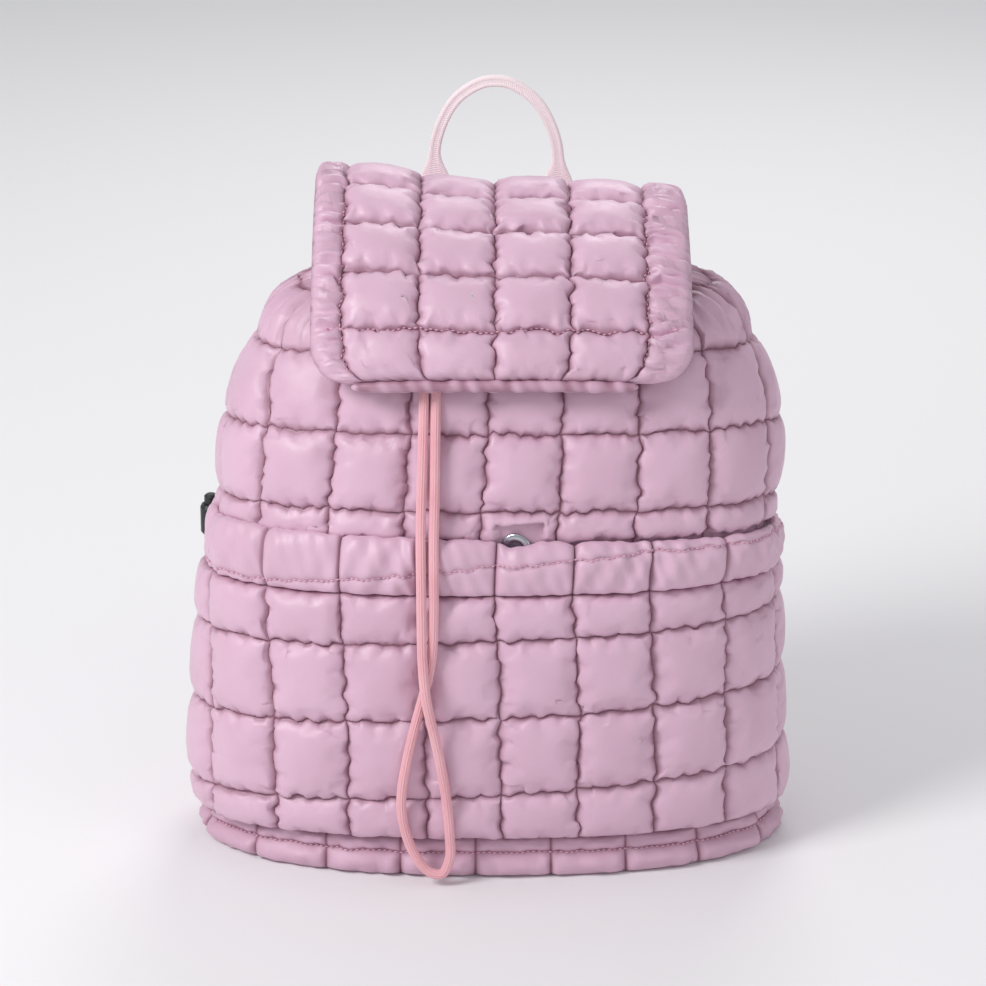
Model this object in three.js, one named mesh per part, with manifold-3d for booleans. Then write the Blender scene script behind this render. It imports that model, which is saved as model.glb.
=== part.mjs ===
// A quilted puffer backpack: a soft padded bag with a flap over its gathered mouth,
// an elasticated pocket round its front, a drawcord, a webbing haul loop and two shoulder straps.
// Millimetres, +Z up. The front faces -Y, and +X is to the right as one faces the front.
// The origin is on the floor, at the middle of the base.
import * as THREE from 'three';
import { mergeVertices } from 'three/addons/utils/BufferGeometryUtils.js';
import Module from 'manifold-3d';

// Bag body
const bodyWidth = 336;      // from side to side over the seams, at the widest section
const bodyDepth = 170;      // from front to back over the seams, at the deepest section
const bodyHeight = 342;     // the mouth's rim above the floor
const leanRight = 9;        // how far the mouth leans to the right of the base
const frontRound = 2.4;     // roundness of the front half's outline: 2 is an ellipse
const backRound = 3;        // roundness of the back half's outline
const wall = 8;             // padded wall between its two faces, at a seam
const puff = 6;             // how far a quilted cell swells past its seams
const columns = 20;         // quilt columns round the body
const cell = 43.5;          // width of a quilt column at the front
const columnShift = -9;     // the middle seam's place, left of the middle of the front
const seamGap = 0.3;        // between two pieces that are sewn to each other

// Base
const basePad = 9;          // thickness of the padded base
const baseSpread = 4;       // how far its edge stands out past the wall
const baseSwell = 5;        // how far its edge swells below the base seam
const baseTuck = 7;         // how far the flat underside stays in from the wall

// Front pocket and its band
const pocketThick = 5;      // thickness of the pocket's sheet at a seam
const pocketPuff = 5;       // how far its cells swell
const pocketClear = 1.8;    // between the pocket and the wall behind it
const pocketLeft = -5;      // the column at which the pocket ends, on the left
const pocketRight = 5.25;   // the column at which it ends, on the right
const bandClear = 3.4;      // between the band and the wall behind it
const bandThick = 8;        // thickness of the rolled band at a gather
const bandPuff = 2.5;       // how far it swells between gathers
const snapDiameter = 18;    // the magnetic snap behind the band
const snapThick = 2;
const snapClear = 0.5;
const snapAside = 12;       // the snap's place, right of the origin
const snapPeek = 3;         // how far the snap shows above the band

// Flap
const flapCell = 43;        // width of each of its four columns
const flapColumns = 4;
const flapBandLeft = 18;    // the finely gathered band along its left edge
const flapBandRight = 26;   // the finely gathered band along its right edge
const flapAside = 3;        // the four columns' middle, right of the origin
const flapRow = 34;         // length of a quilt row along the flap
const flapLastRow = 24;     // the shorter row at its lower edge
const flapHem = 3;          // from the last seam to the lower edge
const flapThick = 6;        // thickness at a seam
const flapPuff = 6;         // how far its cells swell
const flapDroop = 8;        // how far its side edges sink below its middle
const flapCorner = 30;      // lift of its left edge near the rear corner, before it fades to both ends
const flapGather = 6;       // how far its gathered side bands swell
const flapRadius = 22;      // its rounded lower corners
const bindingHeight = 5.5;
const bindingThick = 6;
const bindingGathers = 12;  // swells along the binding

// Haul loop
const loopSpan = 73;        // between the middles of its two feet
const loopAside = 4;        // its middle, right of the origin
const loopRise = 66;        // from the top of its feet to the top of its arch
const footDown = 40;        // from the flap's root to the top of its feet, along the flap
const footWidth = 20;       // the webbing lies flat and flared here
const footLength = 22;      // sewn to the flap
const footThick = 1.8;
const gripWidth = 9;        // the webbing is folded lengthwise here
const gripThick = 4.4;
const loopClear = 0.5;      // between a foot and the flap

// Drawcord and its eyelets
const cordDiameter = 5.8;
const cordSides = 8;
const eyeletDiameter = 13;
const eyeletThick = 1.4;
const eyeletClear = 0.9;    // round the cord in the eyelet
const eyeletSpread = 14;    // each eyelet's distance from the middle seam
const eyeletUp = 0.982;     // their height, as a share of the body's

// Cord locks at the pocket band's ends
const lockDiameter = 13;
const lockHeight = 19;
const lockBoreDepth = 6;    // the button's bore, from the barrel's top
const lockDistance = 10;    // from the band's end to the lock's axis
const lockStandoff = 9.5;   // from the wall to the lock's axis
const buttonDiameter = 8;
const buttonHeight = 8.5;
const buttonSunk = 2.5;     // how deep the button's foot sits in the bore at rest
const buttonClear = 0.3;    // round the button in its bore
const sideCordDiameter = 2.8;
const sideCordSpread = 4;   // between its two strands in the lock
const sideCordClear = 0.5;

// Shoulder straps
const strapWidth = 52;
const strapThick = 10;
const webbingWidth = 25;
const webbingThick = 2;
const sliderWidth = 34;
const sliderHeight = 22;
const sliderThick = 5;
const sliderSlot = 5;
const strapClear = 0.5;

// Sections of the body from the base seam to the rim, at its quilt rows.
// up and lift are shares of bodyHeight, wide of half bodyWidth, front and back of bodyDepth,
// pitch of cell, lean of leanRight, and swell (of the row above the section) of puff.
const sections = [
  { up: 0.073, wide: 0.986, front: 0.470, back: 0.475, lift: 0.017, pitch: 1.00,
    lean: 0.10, swell: 0.6, steps: 2 },
  { up: 0.132, wide: 0.995, front: 0.482, back: 0.485, lift: 0.020, pitch: 1.00,
    lean: -0.15, swell: 1.0, steps: 3 },
  { up: 0.260, wide: 0.980, front: 0.476, back: 0.485, lift: 0.020, pitch: 1.00,
    lean: -0.20, swell: 1.0, steps: 3 },
  { up: 0.389, wide: 0.965, front: 0.465, back: 0.485, lift: 0.022, pitch: 1.00,
    lean: -0.10, swell: 1.0, steps: 3 },
  { up: 0.518, wide: 0.947, front: 0.447, back: 0.485, lift: 0.023, pitch: 1.00,
    lean: 0.08, swell: 1.0, steps: 3 },
  { up: 0.646, wide: 0.946, front: 0.418, back: 0.480, lift: 0.033, pitch: 1.01,
    lean: 0.52, swell: 1.0, steps: 3 },
  { up: 0.774, wide: 0.940, front: 0.365, back: 0.474, lift: 0.033, pitch: 0.99,
    lean: 0.82, swell: 1.0, steps: 3 },
  { up: 0.893, wide: 0.842, front: 0.276, back: 0.464, lift: 0.022, pitch: 0.95,
    lean: 0.92, swell: 0.8, steps: 3 },
  { up: 0.965, wide: 0.702, front: 0.153, back: 0.445, lift: 0.006, pitch: 0.78,
    lean: 0.97, swell: 0.0, steps: 2 },
  { up: 1.000, wide: 0.381, front: 0.012, back: 0.370, lift: 0.000, pitch: 0.36,
    lean: 1.00, swell: 0.0, steps: 0 },
];

// Seams of the pocket from the base seam to the mouth, as shares of bodyHeight,
// with shift, the middle seam's place as a share of cell. skew lifts a seam's right end.
const pocketSeams = [
  { up: 0.075, skew: 0.000, shift: 0.16, steps: 2 },
  { up: 0.160, skew: 0.036, shift: 0.20, steps: 3 },
  { up: 0.297, skew: 0.031, shift: 0.19, steps: 3 },
  { up: 0.432, skew: 0.025, shift: 0.12, steps: 2 },
  { up: 0.511, skew: 0.004, shift: 0.05, steps: 1 },
  { up: 0.604, skew: -0.014, shift: 0.02, steps: 0 },
];
const bandSeam = pocketSeams.at(-2);
const bandMouth = pocketSeams.at(-1);
const pressedUp = 0.62;       // below this height, as a share, the wall is pressed flat by the pocket
const pressedLeft = -6;       // between these columns
const pressedRight = 6.5;

// The base's edge from the seam down: out as a share of baseSpread, swell of baseSwell and
// high of the seam's height
const baseEdge = [
  { out: 1, swell: 0, high: 1 }, { out: 1, swell: 1, high: 0.62 }, { out: 0.5, swell: 1, high: 0.28 },
];

// The band's cross-section: up as a share of its height, out as a share of its thickness
const bandSection = [
  { up: 0.02, out: 0.00 }, { up: 0.02, out: 0.55 }, { up: 0.20, out: 0.92 }, { up: 0.50, out: 1.00 },
  { up: 0.80, out: 0.92 }, { up: 0.97, out: 0.60 }, { up: 1.00, out: 0.25 }, { up: 0.96, out: 0.00 },
];

// The flap's inner face from its root on the back of the bag, over the mouth, to its lower edge:
// back as a share of bodyDepth and up of bodyHeight
const flapLine = [
  { back: 0.490, up: 0.930 }, { back: 0.503, up: 0.985 }, { back: 0.475, up: 1.042 },
  { back: 0.385, up: 1.072 }, { back: 0.220, up: 1.074 }, { back: 0.018, up: 1.048 },
  { back: -0.162, up: 1.003 }, { back: -0.315, up: 0.942 }, { back: -0.398, up: 0.880 },
  { back: -0.408, up: 0.871 },
];

// The haul loop's arch: share is the way along it, from its left foot to its right
const archShares = [0.12, 0.28, 0.42, 0.5, 0.58, 0.72, 0.88];
const archWide = 1.04;      // its width, as a share of the span of its feet
const archRound = 0.8;      // its roundness: 1 is an ellipse, and less is fuller at the shoulders

// A side cord's loose loop past the lock: past the lock's axis, off it outward, and how far
// each strand spreads from the other. It turns back at sideLoopTip.
const sideLoop = [
  { past: 7.5, off: 0, spread: 0 }, { past: 11, off: 0.8, spread: 1.6 },
  { past: 16, off: 2, spread: 2.2 },
];
const sideLoopTip = { past: 20, off: 2.8 };

// A shoulder strap's middle line: column counted from the middle of the back, up as a share
// of bodyHeight, and off, how far it stands off the back panel
const strapLine = [
  { column: 1.30, up: 0.948, off: 9.5 }, { column: 1.30, up: 0.870, off: 12 },
  { column: 1.36, up: 0.770, off: 28 }, { column: 1.48, up: 0.640, off: 37 },
  { column: 1.68, up: 0.510, off: 35 }, { column: 1.88, up: 0.400, off: 26 },
];
const webbingLine = [
  { column: 1.98, up: 0.345, off: 22 }, { column: 2.16, up: 0.250, off: 15.5 },
  { column: 2.30, up: 0.150, off: 11 }, { column: 2.34, up: 0.110, off: 9 },
  { column: 2.36, up: 0.080, off: 6.2 },
];

// The drawcord's route, from the left eyelet down the front, round the hanging loop and back
const cordRoute = [
  [-14.3, -16.2, 339], [-15.8, -20.5, 340], [-18.2, -24.6, 339.2], [-21.5, -29, 336],
  [-26.5, -37.5, 328.3], [-31.5, -46.7, 319], [-35, -53.6, 310], [-36.5, -58.9, 300],
  [-36.8, -61.6, 292], [-37, -66.5, 280], [-37.5, -75.5, 258], [-38.3, -80, 235],
  [-38.8, -85, 212], [-38.6, -92, 190], [-38.4, -94.5, 165], [-37.9, -98.5, 140],
  [-36, -101.8, 119], [-31.5, -100.5, 96], [-27.8, -99, 76], [-24.8, -98, 55], [-23, -97.5, 33],
  [-23, -97.5, 18], [-27.5, -97.5, 8.2], [-35, -97.5, 9.5], [-43.5, -97.5, 21], [-49.5, -97.5, 40],
  [-50.6, -97.5, 56], [-47.5, -96.5, 78], [-42.5, -95.5, 100], [-37.5, -94.5, 119],
  [-33, -94.5, 140], [-31.6, -93.5, 165], [-31.4, -92, 190], [-31.4, -85, 212], [-30.8, -80, 235],
  [-30.5, -75.5, 258], [-30.2, -66.5, 280], [-29.9, -61.6, 292], [-28.3, -58.9, 300],
  [-22.5, -53.8, 310], [-14, -47, 319.5], [-4, -38, 328.5], [4.5, -30, 335.8], [9.8, -25.2, 339.2],
  [12.6, -21.1, 340], [13.9, -16.8, 339],
];

const satin = { color: '#c9a3b9', roughness: 0.45, metalness: 0 };
const satinShade = { color: '#bd94ab', roughness: 0.5, metalness: 0 };
const coral = { color: '#eba6a3', roughness: 0.7, metalness: 0 };
const webbing = { color: '#ebd3d0', roughness: 0.8, metalness: 0 };
const blackPlastic = { color: '#17171a', roughness: 0.4, metalness: 0 };
const silver = { color: '#b9bcc2', roughness: 0.25, metalness: 1 };

const wasm = await Module();
wasm.setup();

const bag = new THREE.Group();

function addPiece(name, geometry, finish) {
  const piece = new THREE.Mesh(geometry, new THREE.MeshStandardMaterial(finish));
  piece.name = name;
  bag.add(piece);
  return piece;
}

// The faces that close an outline of flat points
function closing(flat) {
  const turn = (face) => THREE.ShapeUtils.area(face.map((corner) => flat[corner]));
  const faces = THREE.ShapeUtils.triangulateShape(flat, []);
  const sameWay = turn(faces[0]) * THREE.ShapeUtils.area(flat) > 0;
  return sameWay ? faces : faces.map((face) => [...face].reverse());
}

// The faces that close a sheet's end, between the steps of its front, in rising order, and of
// its back, in falling order
function ladder(front, back) {
  const faces = [];
  const top = front.length - 1;
  let [a, b] = [0, top + back.length];
  while (a < top || b > top + 1) {
    const nextFront = a < top ? front[a + 1] : Infinity;
    const nextBack = b > top + 1 ? back[b - top - 2] : Infinity;
    faces.push(nextFront <= nextBack ? [a, a + 1, b] : [a, b - 1, b]);
    if (nextFront <= nextBack) a++;
    else b--;
  }
  return faces;
}

// The solid between rings of points. With ends, the faces that close a ring, its first and last
// ring are closed; without them the last ring joins the first.
function skin(rings, ends) {
  const size = rings[0].length;
  const index = [];
  const joins = ends ? rings.length - 1 : rings.length;
  for (let i = 0; i < joins; i++) {
    const next = (i + 1) % rings.length;
    for (let j = 0; j < size; j++) {
      const k = (j + 1) % size;
      index.push(i * size + j, i * size + k, next * size + k);
      index.push(i * size + j, next * size + k, next * size + j);
    }
  }
  if (ends) {
    const last = (rings.length - 1) * size;
    for (const [a, b, c] of ends) index.push(c, b, a, last + a, last + b, last + c);
  }
  const points = rings.flat();
  let volume = 0;
  for (let i = 0; i < index.length; i += 3) {
    const [a, b, c] = [points[index[i]], points[index[i + 1]], points[index[i + 2]]];
    volume += a.dot(b.clone().cross(c));
  }
  if (volume < 0) index.reverse();
  const geometry = new THREE.BufferGeometry().setFromPoints(points);
  geometry.setIndex(index);
  geometry.computeVertexNormals();
  return geometry;
}

// A value of a section table at a height between its rows, on a smooth curve
function follow(table, key, up) {
  const last = table.length - 1;
  let i = 0;
  while (i < last - 1 && up > table[i + 1].up) i++;
  const slope = (k) => {
    const [below, above] = [table[Math.max(k - 1, 0)], table[Math.min(k + 1, last)]];
    return (above[key] - below[key]) / (above.up - below.up);
  };
  const span = table[i + 1].up - table[i].up;
  const t = (up - table[i].up) / span;
  const [t2, t3] = [t * t, t * t * t];
  return (2 * t3 - 3 * t2 + 1) * table[i][key] + (t3 - 2 * t2 + t) * span * slope(i)
    + (3 * t2 - 2 * t3) * table[i + 1][key] + (t3 - t2) * span * slope(i + 1);
}

// The size of the body's outline at a height
function outlineAt(up) {
  const front = -follow(sections, 'front', up) * bodyDepth;
  const back = follow(sections, 'back', up) * bodyDepth;
  return {
    half: follow(sections, 'wide', up) * bodyWidth / 2,
    deep: (back - front) / 2,
    middle: (back + front) / 2,
    lift: follow(sections, 'lift', up),
    lean: follow(sections, 'lean', up) * leanRight,
  };
}

// A point of the body's smooth form: angle 0 is the middle of the front, a quarter turn the right
function bodyPoint(angle, up, outline = outlineAt(up)) {
  const [across, ahead] = [Math.sin(angle), Math.cos(angle)];
  const round = ahead > 0 ? frontRound : backRound;
  const reach = (Math.abs(across / outline.half) ** round
    + Math.abs(ahead / outline.deep) ** round) ** (-1 / round);
  const back = -reach * ahead;
  const height = up - outline.lift * (1 + back / outline.deep);
  return new THREE.Vector3(
    reach * across + outline.lean, outline.middle + back, bodyHeight * height);
}

// The angle of a quilt column at a height. Eight columns at the front keep the cell's width,
// and the others share the rest of the outline.
const arcSteps = 144;
const frontColumns = 8;
const arcTables = new Map();
function columnAngle(column, up, shift) {
  if (!arcTables.has(up)) {
    const outline = outlineAt(up);
    const lengths = [0];
    let before = bodyPoint(0, up, outline);
    for (let i = 1; i <= arcSteps; i++) {
      const here = bodyPoint(2 * Math.PI * i / arcSteps, up, outline);
      lengths.push(lengths[i - 1] + here.distanceTo(before));
      before = here;
    }
    arcTables.set(up, lengths);
  }
  const lengths = arcTables.get(up);
  const round = lengths[arcSteps];
  const front = cell * follow(sections, 'pitch', up);
  const back = (round - frontColumns * front) / (columns - frontColumns);
  const side = frontColumns / 2;
  const beyond = Math.max(Math.abs(column) - side, 0) * Math.sign(column);
  const arc = shift + (column - beyond) * front + beyond * back;
  const wanted = ((arc % round) + round) % round;
  let i = 0;
  while (i < arcSteps - 1 && lengths[i + 1] < wanted) i++;
  const share = (wanted - lengths[i]) / (lengths[i + 1] - lengths[i]);
  return 2 * Math.PI * (i + share) / arcSteps;
}

// The place and outward direction on the body at a column and a height
function bodyFrame(column, up, shift = columnShift) {
  const angle = columnAngle(column, up, shift);
  const step = 0.002;
  const along = bodyPoint(angle + step, up).sub(bodyPoint(angle - step, up));
  const rise = bodyPoint(angle, up + step).sub(bodyPoint(angle, up - step));
  return { place: bodyPoint(angle, up), outward: along.cross(rise).normalize() };
}

function onBody(column, up, out, shift) {
  const { place, outward } = bodyFrame(column, up, shift);
  return place.addScaledVector(outward, out);
}

// How far a cell swells at a share of its width or height
function bulge(share) {
  return Math.sqrt(Math.max(4 * share * (1 - share), 0));
}

// The steps along a table of seams, each with the row it lies in and its share of that row
function stations(table) {
  const steps = table.slice(0, -1).flatMap((row, i) => Array.from({ length: row.steps },
    (_, k) => ({ row, next: table[i + 1], share: k / row.steps })));
  steps.push({ row: table.at(-1), next: table.at(-1), share: 0 });
  return steps;
}

const between = (station, key) => THREE.MathUtils.lerp(
  station.row[key], station.next[key], station.share);

const cellSteps = 3;

function columnsFrom(first, last) {
  const list = [];
  for (let i = Math.round(first * cellSteps); i < last * cellSteps; i++) list.push(i / cellSteps);
  return list;
}

const shareOfCell = (column) => column - Math.floor(column + 1e-6);

// The padded wall, round the body. Its smooth inside leaves out every other of the lower sections.
const upperSections = 6;
function shellGeometry() {
  const outside = stations(sections);
  const inside = sections.filter((_, i) => i % 2 === 0 || i > upperSections).reverse();
  const rings = columnsFrom(-columns / 2, columns / 2).map((column) => {
    const outer = outside.map((station) => {
      const up = between(station, 'up');
      const pressed = up < pressedUp && column > pressedLeft && column < pressedRight;
      const swell = puff * station.row.swell * bulge(shareOfCell(column)) * bulge(station.share);
      return onBody(column, up, pressed ? 0 : swell);
    });
    return [...outer, ...inside.map(({ up }) => onBody(column, up, -wall))];
  });
  return skin(rings);
}
addPiece('bag_shell', shellGeometry(), satin);

// The base: a padded pan, flat below, whose quilted edge swells past the base seam
function baseGeometry() {
  const seam = sections[0];
  const ring = (out, swell, height) => columnsFrom(-columns / 2, columns / 2).map((column) => {
    const place = onBody(column, seam.up, out + swell * bulge(shareOfCell(column)));
    place.z = height(place.z - seamGap);
    return place;
  });
  const rings = [
    ring(-wall - baseTuck, 0, () => basePad),
    ring(-wall, 0, (top) => top),
    ...baseEdge.map(({ out, swell, high }) => ring(
      out * baseSpread, swell * baseSwell, (top) => top * high)),
    ring(-baseTuck, baseSwell / 2, () => 0),
  ];
  return skin(rings, closing(rings[0].map((place) => new THREE.Vector2(place.x, place.y))));
}
addPiece('base_panel', baseGeometry(), satinShade);

// The height of a pocket seam at a column: its right end is lifted by the seam's skew
function pocketUp(station, column) {
  const fromMiddle = (2 * column - pocketLeft - pocketRight) / (pocketRight - pocketLeft);
  return between(station, 'up') + between(station, 'skew') * fromMiddle;
}

function pocketGeometry() {
  const outside = stations(pocketSeams.slice(0, -1));
  const insideSteps = outside.filter((station) => station.share === 0).reverse();
  const edge = seamGap / bodyHeight;
  const place = (station, column, out) => {
    const top = station.row === bandSeam ? edge : 0;
    return onBody(column, pocketUp(station, column) - top, out, between(station, 'shift') * cell);
  };
  const rings = [...columnsFrom(pocketLeft, pocketRight), pocketRight].map((column) => [
    ...outside.map((station) => {
      const swell = pocketPuff * bulge(shareOfCell(column)) * bulge(station.share);
      return place(station, column, pocketClear + pocketThick + swell);
    }),
    ...insideSteps.map((station) => place(station, column, pocketClear)),
  ]);
  const ups = (list) => list.map((station) => between(station, 'up'));
  return skin(rings, ladder(ups(outside), ups(insideSteps)));
}
addPiece('front_pocket', pocketGeometry(), satin);

// The band's place at a column: share of its height and distance from the wall
function onBand(column, share, out) {
  const station = { row: bandSeam, next: bandMouth, share };
  return onBody(column, pocketUp(station, column), out, bandSeam.shift * cell);
}

function bandGeometry() {
  const rings = [...columnsFrom(pocketLeft, pocketRight), pocketRight].map((column) => {
    const swell = bandPuff * bulge(shareOfCell(column));
    return bandSection.map(({ up, out }) => {
      const thick = bandThick * out + swell * Math.min(out, 1);
      return onBand(column, up, bandClear + thick);
    });
  });
  return skin(rings, closing(bandSection.map(({ up, out }) => new THREE.Vector2(up, out))));
}
addPiece('pocket_band', bandGeometry(), satin);

// A lathed piece that stands on the body with its axis along the outward direction
function seatOnBody(name, profile, sides, finish, frame, lift) {
  const geometry = new THREE.LatheGeometry(profile.map(([r, y]) => new THREE.Vector2(r, y)), sides);
  const piece = addPiece(name, geometry, finish);
  piece.quaternion.setFromUnitVectors(new THREE.Vector3(0, 1, 0), frame.outward);
  piece.position.copy(frame.place).addScaledVector(frame.outward, lift);
}

// The snap disc, with a raised rim, whose upper edge shows above the band
function addSnap() {
  const column = (snapAside - columnShift) / cell;
  const top = onBand((snapAside - bandSeam.shift * cell) / cell, 1, 0).z;
  const middle = top + snapPeek - snapDiameter / 2;
  const radius = snapDiameter / 2;
  const profile = [
    [0, 0], [radius, 0], [radius, snapThick * 0.7], [radius * 0.9, snapThick],
    [radius * 0.6, snapThick], [radius * 0.5, snapThick * 0.6], [0, snapThick * 0.6],
  ];
  const frame = bodyFrame(column, middle / bodyHeight);
  seatOnBody('pocket_snap', profile, 20, silver, frame, snapClear);
}
addSnap();

// The flap's middle line and its outward direction, in the plane across the bag
const flapCurve = new THREE.CatmullRomCurve3(flapLine.map(
  ({ back, up }) => new THREE.Vector3(0, back * bodyDepth, up * bodyHeight)));
const flapLength = flapCurve.getLength();
const flapHalf = flapColumns * flapCell / 2;

// A point of the flap: aside from the middle of its columns, down along it from its root, and out
function onFlap(aside, down, out) {
  const share = THREE.MathUtils.clamp(down / flapLength, 0, 1);
  const place = flapCurve.getPointAt(share);
  const along = flapCurve.getTangentAt(share);
  const outward = new THREE.Vector3(0, -along.z, along.y).negate();
  const past = down - share * flapLength;
  const left = aside < 0 ? -aside / (flapHalf + flapBandLeft) : 0;
  const edge = Math.abs(aside) / (flapHalf + (aside < 0 ? flapBandLeft : flapBandRight));
  const rise = Math.sin(Math.PI * Math.min(share * 2, 1) / 2) * (1 - share);
  place.addScaledVector(along, past).addScaledVector(outward, out - flapDroop * edge ** 3 * share ** 0.3);
  place.x = flapAside + aside;
  place.z += flapCorner * left ** 1.5 * rise;
  return place;
}

// How far the flap's side edges reach: full, and rounded in at the lower corners
function flapReach(down) {
  const near = Math.max(flapRadius - (flapLength - down), 0);
  return flapRadius - Math.sqrt(Math.max(flapRadius ** 2 - near ** 2, 0));
}

// The flap's seams, measured from its root
function flapSeams() {
  const seams = [flapLength, flapLength - flapHem, flapLength - flapHem - flapLastRow];
  while (seams.at(-1) > flapRow) seams.push(seams.at(-1) - flapRow);
  seams.push(0);
  return seams.reverse();
}

function flapGeometry() {
  const seams = flapSeams();
  const downs = seams.slice(0, -1).flatMap((seam, i) => {
    const steps = i === seams.length - 2 ? 1 : cellSteps;
    return Array.from({ length: steps }, (_, k) => {
      const share = k / steps;
      return { down: THREE.MathUtils.lerp(seam, seams[i + 1], share), share };
    });
  });
  downs.push({ down: flapLength, share: 0 });
  const asides = [];
  for (let i = -flapColumns * cellSteps / 2; i <= flapColumns * cellSteps / 2; i++) {
    const share = shareOfCell(i / cellSteps + flapColumns / 2);
    asides.push({ aside: i * flapCell / cellSteps, swell: bulge(share) });
  }
  for (const share of [1 / 3, 2 / 3, 1]) {
    const swell = share === 1 ? 0 : flapGather / flapPuff;
    asides.unshift({ aside: -flapHalf - flapBandLeft * share, swell });
    asides.push({ aside: flapHalf + flapBandRight * share, swell });
  }
  const seamSwell = 0.15;
  const edgeThick = 0.6 * flapThick;
  const back = downs.filter((step) => step.share === 0 || step.down > flapLength - flapRadius).reverse();
  const rings = asides.map(({ aside, swell }, i) => {
    const pull = (down) => aside * (1 - flapReach(down) / (flapHalf + flapBandRight));
    const atSide = i === 0 || i === asides.length - 1;
    const outer = downs.map((step) => {
      const atEdge = step.down === 0 || step.down === flapLength || atSide;
      const out = flapThick + flapPuff * swell * Math.max(bulge(step.share), seamSwell);
      return onFlap(pull(step.down), step.down, atEdge ? edgeThick : out);
    });
    return [...outer, ...back.map(({ down }) => onFlap(pull(down), down, 0))];
  });
  return skin(rings, ladder(downs.map(({ down }) => down), back.map(({ down }) => down)));
}
addPiece('flap', flapGeometry(), satin);

// An oval ring of points round a place, in the plane of two directions
function ovalRing(place, wide, thick, width, depth, sides) {
  return Array.from({ length: sides }, (_, i) => {
    const angle = 2 * Math.PI * i / sides;
    return place.clone().addScaledVector(wide, Math.cos(angle) * width / 2)
      .addScaledVector(thick, Math.sin(angle) * depth / 2);
  });
}

const ovalFlat = (sides) => Array.from({ length: sides }, (_, i) => new THREE.Vector2(
  Math.cos(2 * Math.PI * i / sides), Math.sin(2 * Math.PI * i / sides)));

// The binding rolled under the flap's lower edge, gathered into small swells
function bindingGeometry() {
  const sides = 6;
  const steps = bindingGathers * 2;
  const half = flapHalf - flapRadius / 4;
  const [narrow, full] = [0.9, 1.05];
  const down = flapLength + seamGap + bindingHeight / 2 * full;
  const off = flapThick / 3;
  const rings = [];
  for (let i = 0; i <= steps; i++) {
    const aside = THREE.MathUtils.lerp(-half, half, i / steps);
    const swell = i % 2 ? full : narrow;
    const place = onFlap(aside, down, off);
    const below = onFlap(aside, down + 1, off).sub(place).normalize();
    const outward = onFlap(aside, down, flapThick).sub(place).normalize();
    rings.push(ovalRing(place, below, outward, bindingHeight * swell, bindingThick * swell, sides));
  }
  return skin(rings, closing(ovalFlat(sides)));
}
addPiece('flap_binding', bindingGeometry(), satinShade);

// The haul loop: two flat feet sewn to the flap's back, and an arch folded lengthwise
function loopGeometry() {
  const sides = 8;
  const steps = 30;
  const proud = flapThick + flapPuff * 0.6 + loopClear;
  const seat = (aside, down) => onFlap(aside - flapAside, down, proud);
  const foot = (sign) => {
    const aside = loopAside + sign * loopSpan / 2;
    const top = seat(aside, footDown);
    top.y = Math.max(top.y, seat(aside, footDown - footLength / 2).y);
    return [top.clone().setZ(top.z - footLength), top];
  };
  const [leftFoot, leftTop] = foot(-1);
  const [rightFoot, rightTop] = foot(1);
  const middle = leftTop.clone().lerp(rightTop, 0.5);
  const arch = archShares.map((share) => {
    const angle = Math.PI * (1 - share);
    const place = middle.clone();
    place.x += Math.cos(angle) * loopSpan / 2 * archWide;
    place.y -= Math.sin(angle) * footThick;
    place.z = THREE.MathUtils.lerp(leftTop.z, rightTop.z, share) + loopRise * Math.sin(angle) ** archRound;
    return place;
  });
  const curve = new THREE.CatmullRomCurve3([leftFoot, leftTop, ...arch, rightTop, rightFoot]);
  const total = curve.getLength();
  const rings = [];
  for (let i = 0; i <= steps; i++) {
    const share = i / steps;
    const place = curve.getPointAt(share);
    const along = curve.getTangentAt(share);
    const fromEnd = Math.min(share, 1 - share) * total;
    const folded = THREE.MathUtils.smoothstep(fromEnd, footLength, footLength * 2);
    const face = new THREE.Vector3(0, 1, 0);
    const wide = along.clone().cross(face).normalize();
    const width = THREE.MathUtils.lerp(footWidth, gripWidth, folded);
    const thick = THREE.MathUtils.lerp(footThick, gripThick, folded);
    place.y += thick / 2;
    rings.push(ovalRing(place, wide, face, width, thick, sides));
  }
  return skin(rings, closing(ovalFlat(sides)));
}
addPiece('haul_loop', loopGeometry(), webbing);

// A tube of a cord along a smooth route
function cordGeometry(points, diameter, steps) {
  const section = new THREE.Shape(Array.from({ length: cordSides }, (_, i) => {
    const angle = 2 * Math.PI * i / cordSides;
    return new THREE.Vector2(Math.cos(angle), Math.sin(angle)).multiplyScalar(diameter / 2);
  }));
  const extrudePath = new THREE.CatmullRomCurve3(points);
  return new THREE.ExtrudeGeometry(section, { steps, extrudePath, bevelEnabled: false });
}
const cordPoints = cordRoute.map((point) => new THREE.Vector3(...point));
addPiece('drawcord', cordGeometry(cordPoints, cordDiameter, 56), coral);

// The two sides of the bag, as seen from the front: left is -X
const sides = [{ name: 'left', sign: -1 }, { name: 'right', sign: 1 }];

// Eyelets in the neck casing, on both sides of the middle seam
function addEyelet({ name, sign }) {
  const hole = cordDiameter / 2 + eyeletClear;
  const outer = eyeletDiameter / 2;
  const profile = [
    [hole, 0], [outer, 0], [outer, eyeletThick * 0.5], [(hole + outer) / 2, eyeletThick],
    [hole, eyeletThick * 0.6], [hole, 0],
  ];
  const pitch = cell * follow(sections, 'pitch', eyeletUp);
  const frame = bodyFrame(sign * eyeletSpread / pitch, eyeletUp);
  seatOnBody(`cord_eyelet_${name}`, profile, 16, silver, frame, seamGap * 2);
}
sides.forEach(addEyelet);

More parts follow.
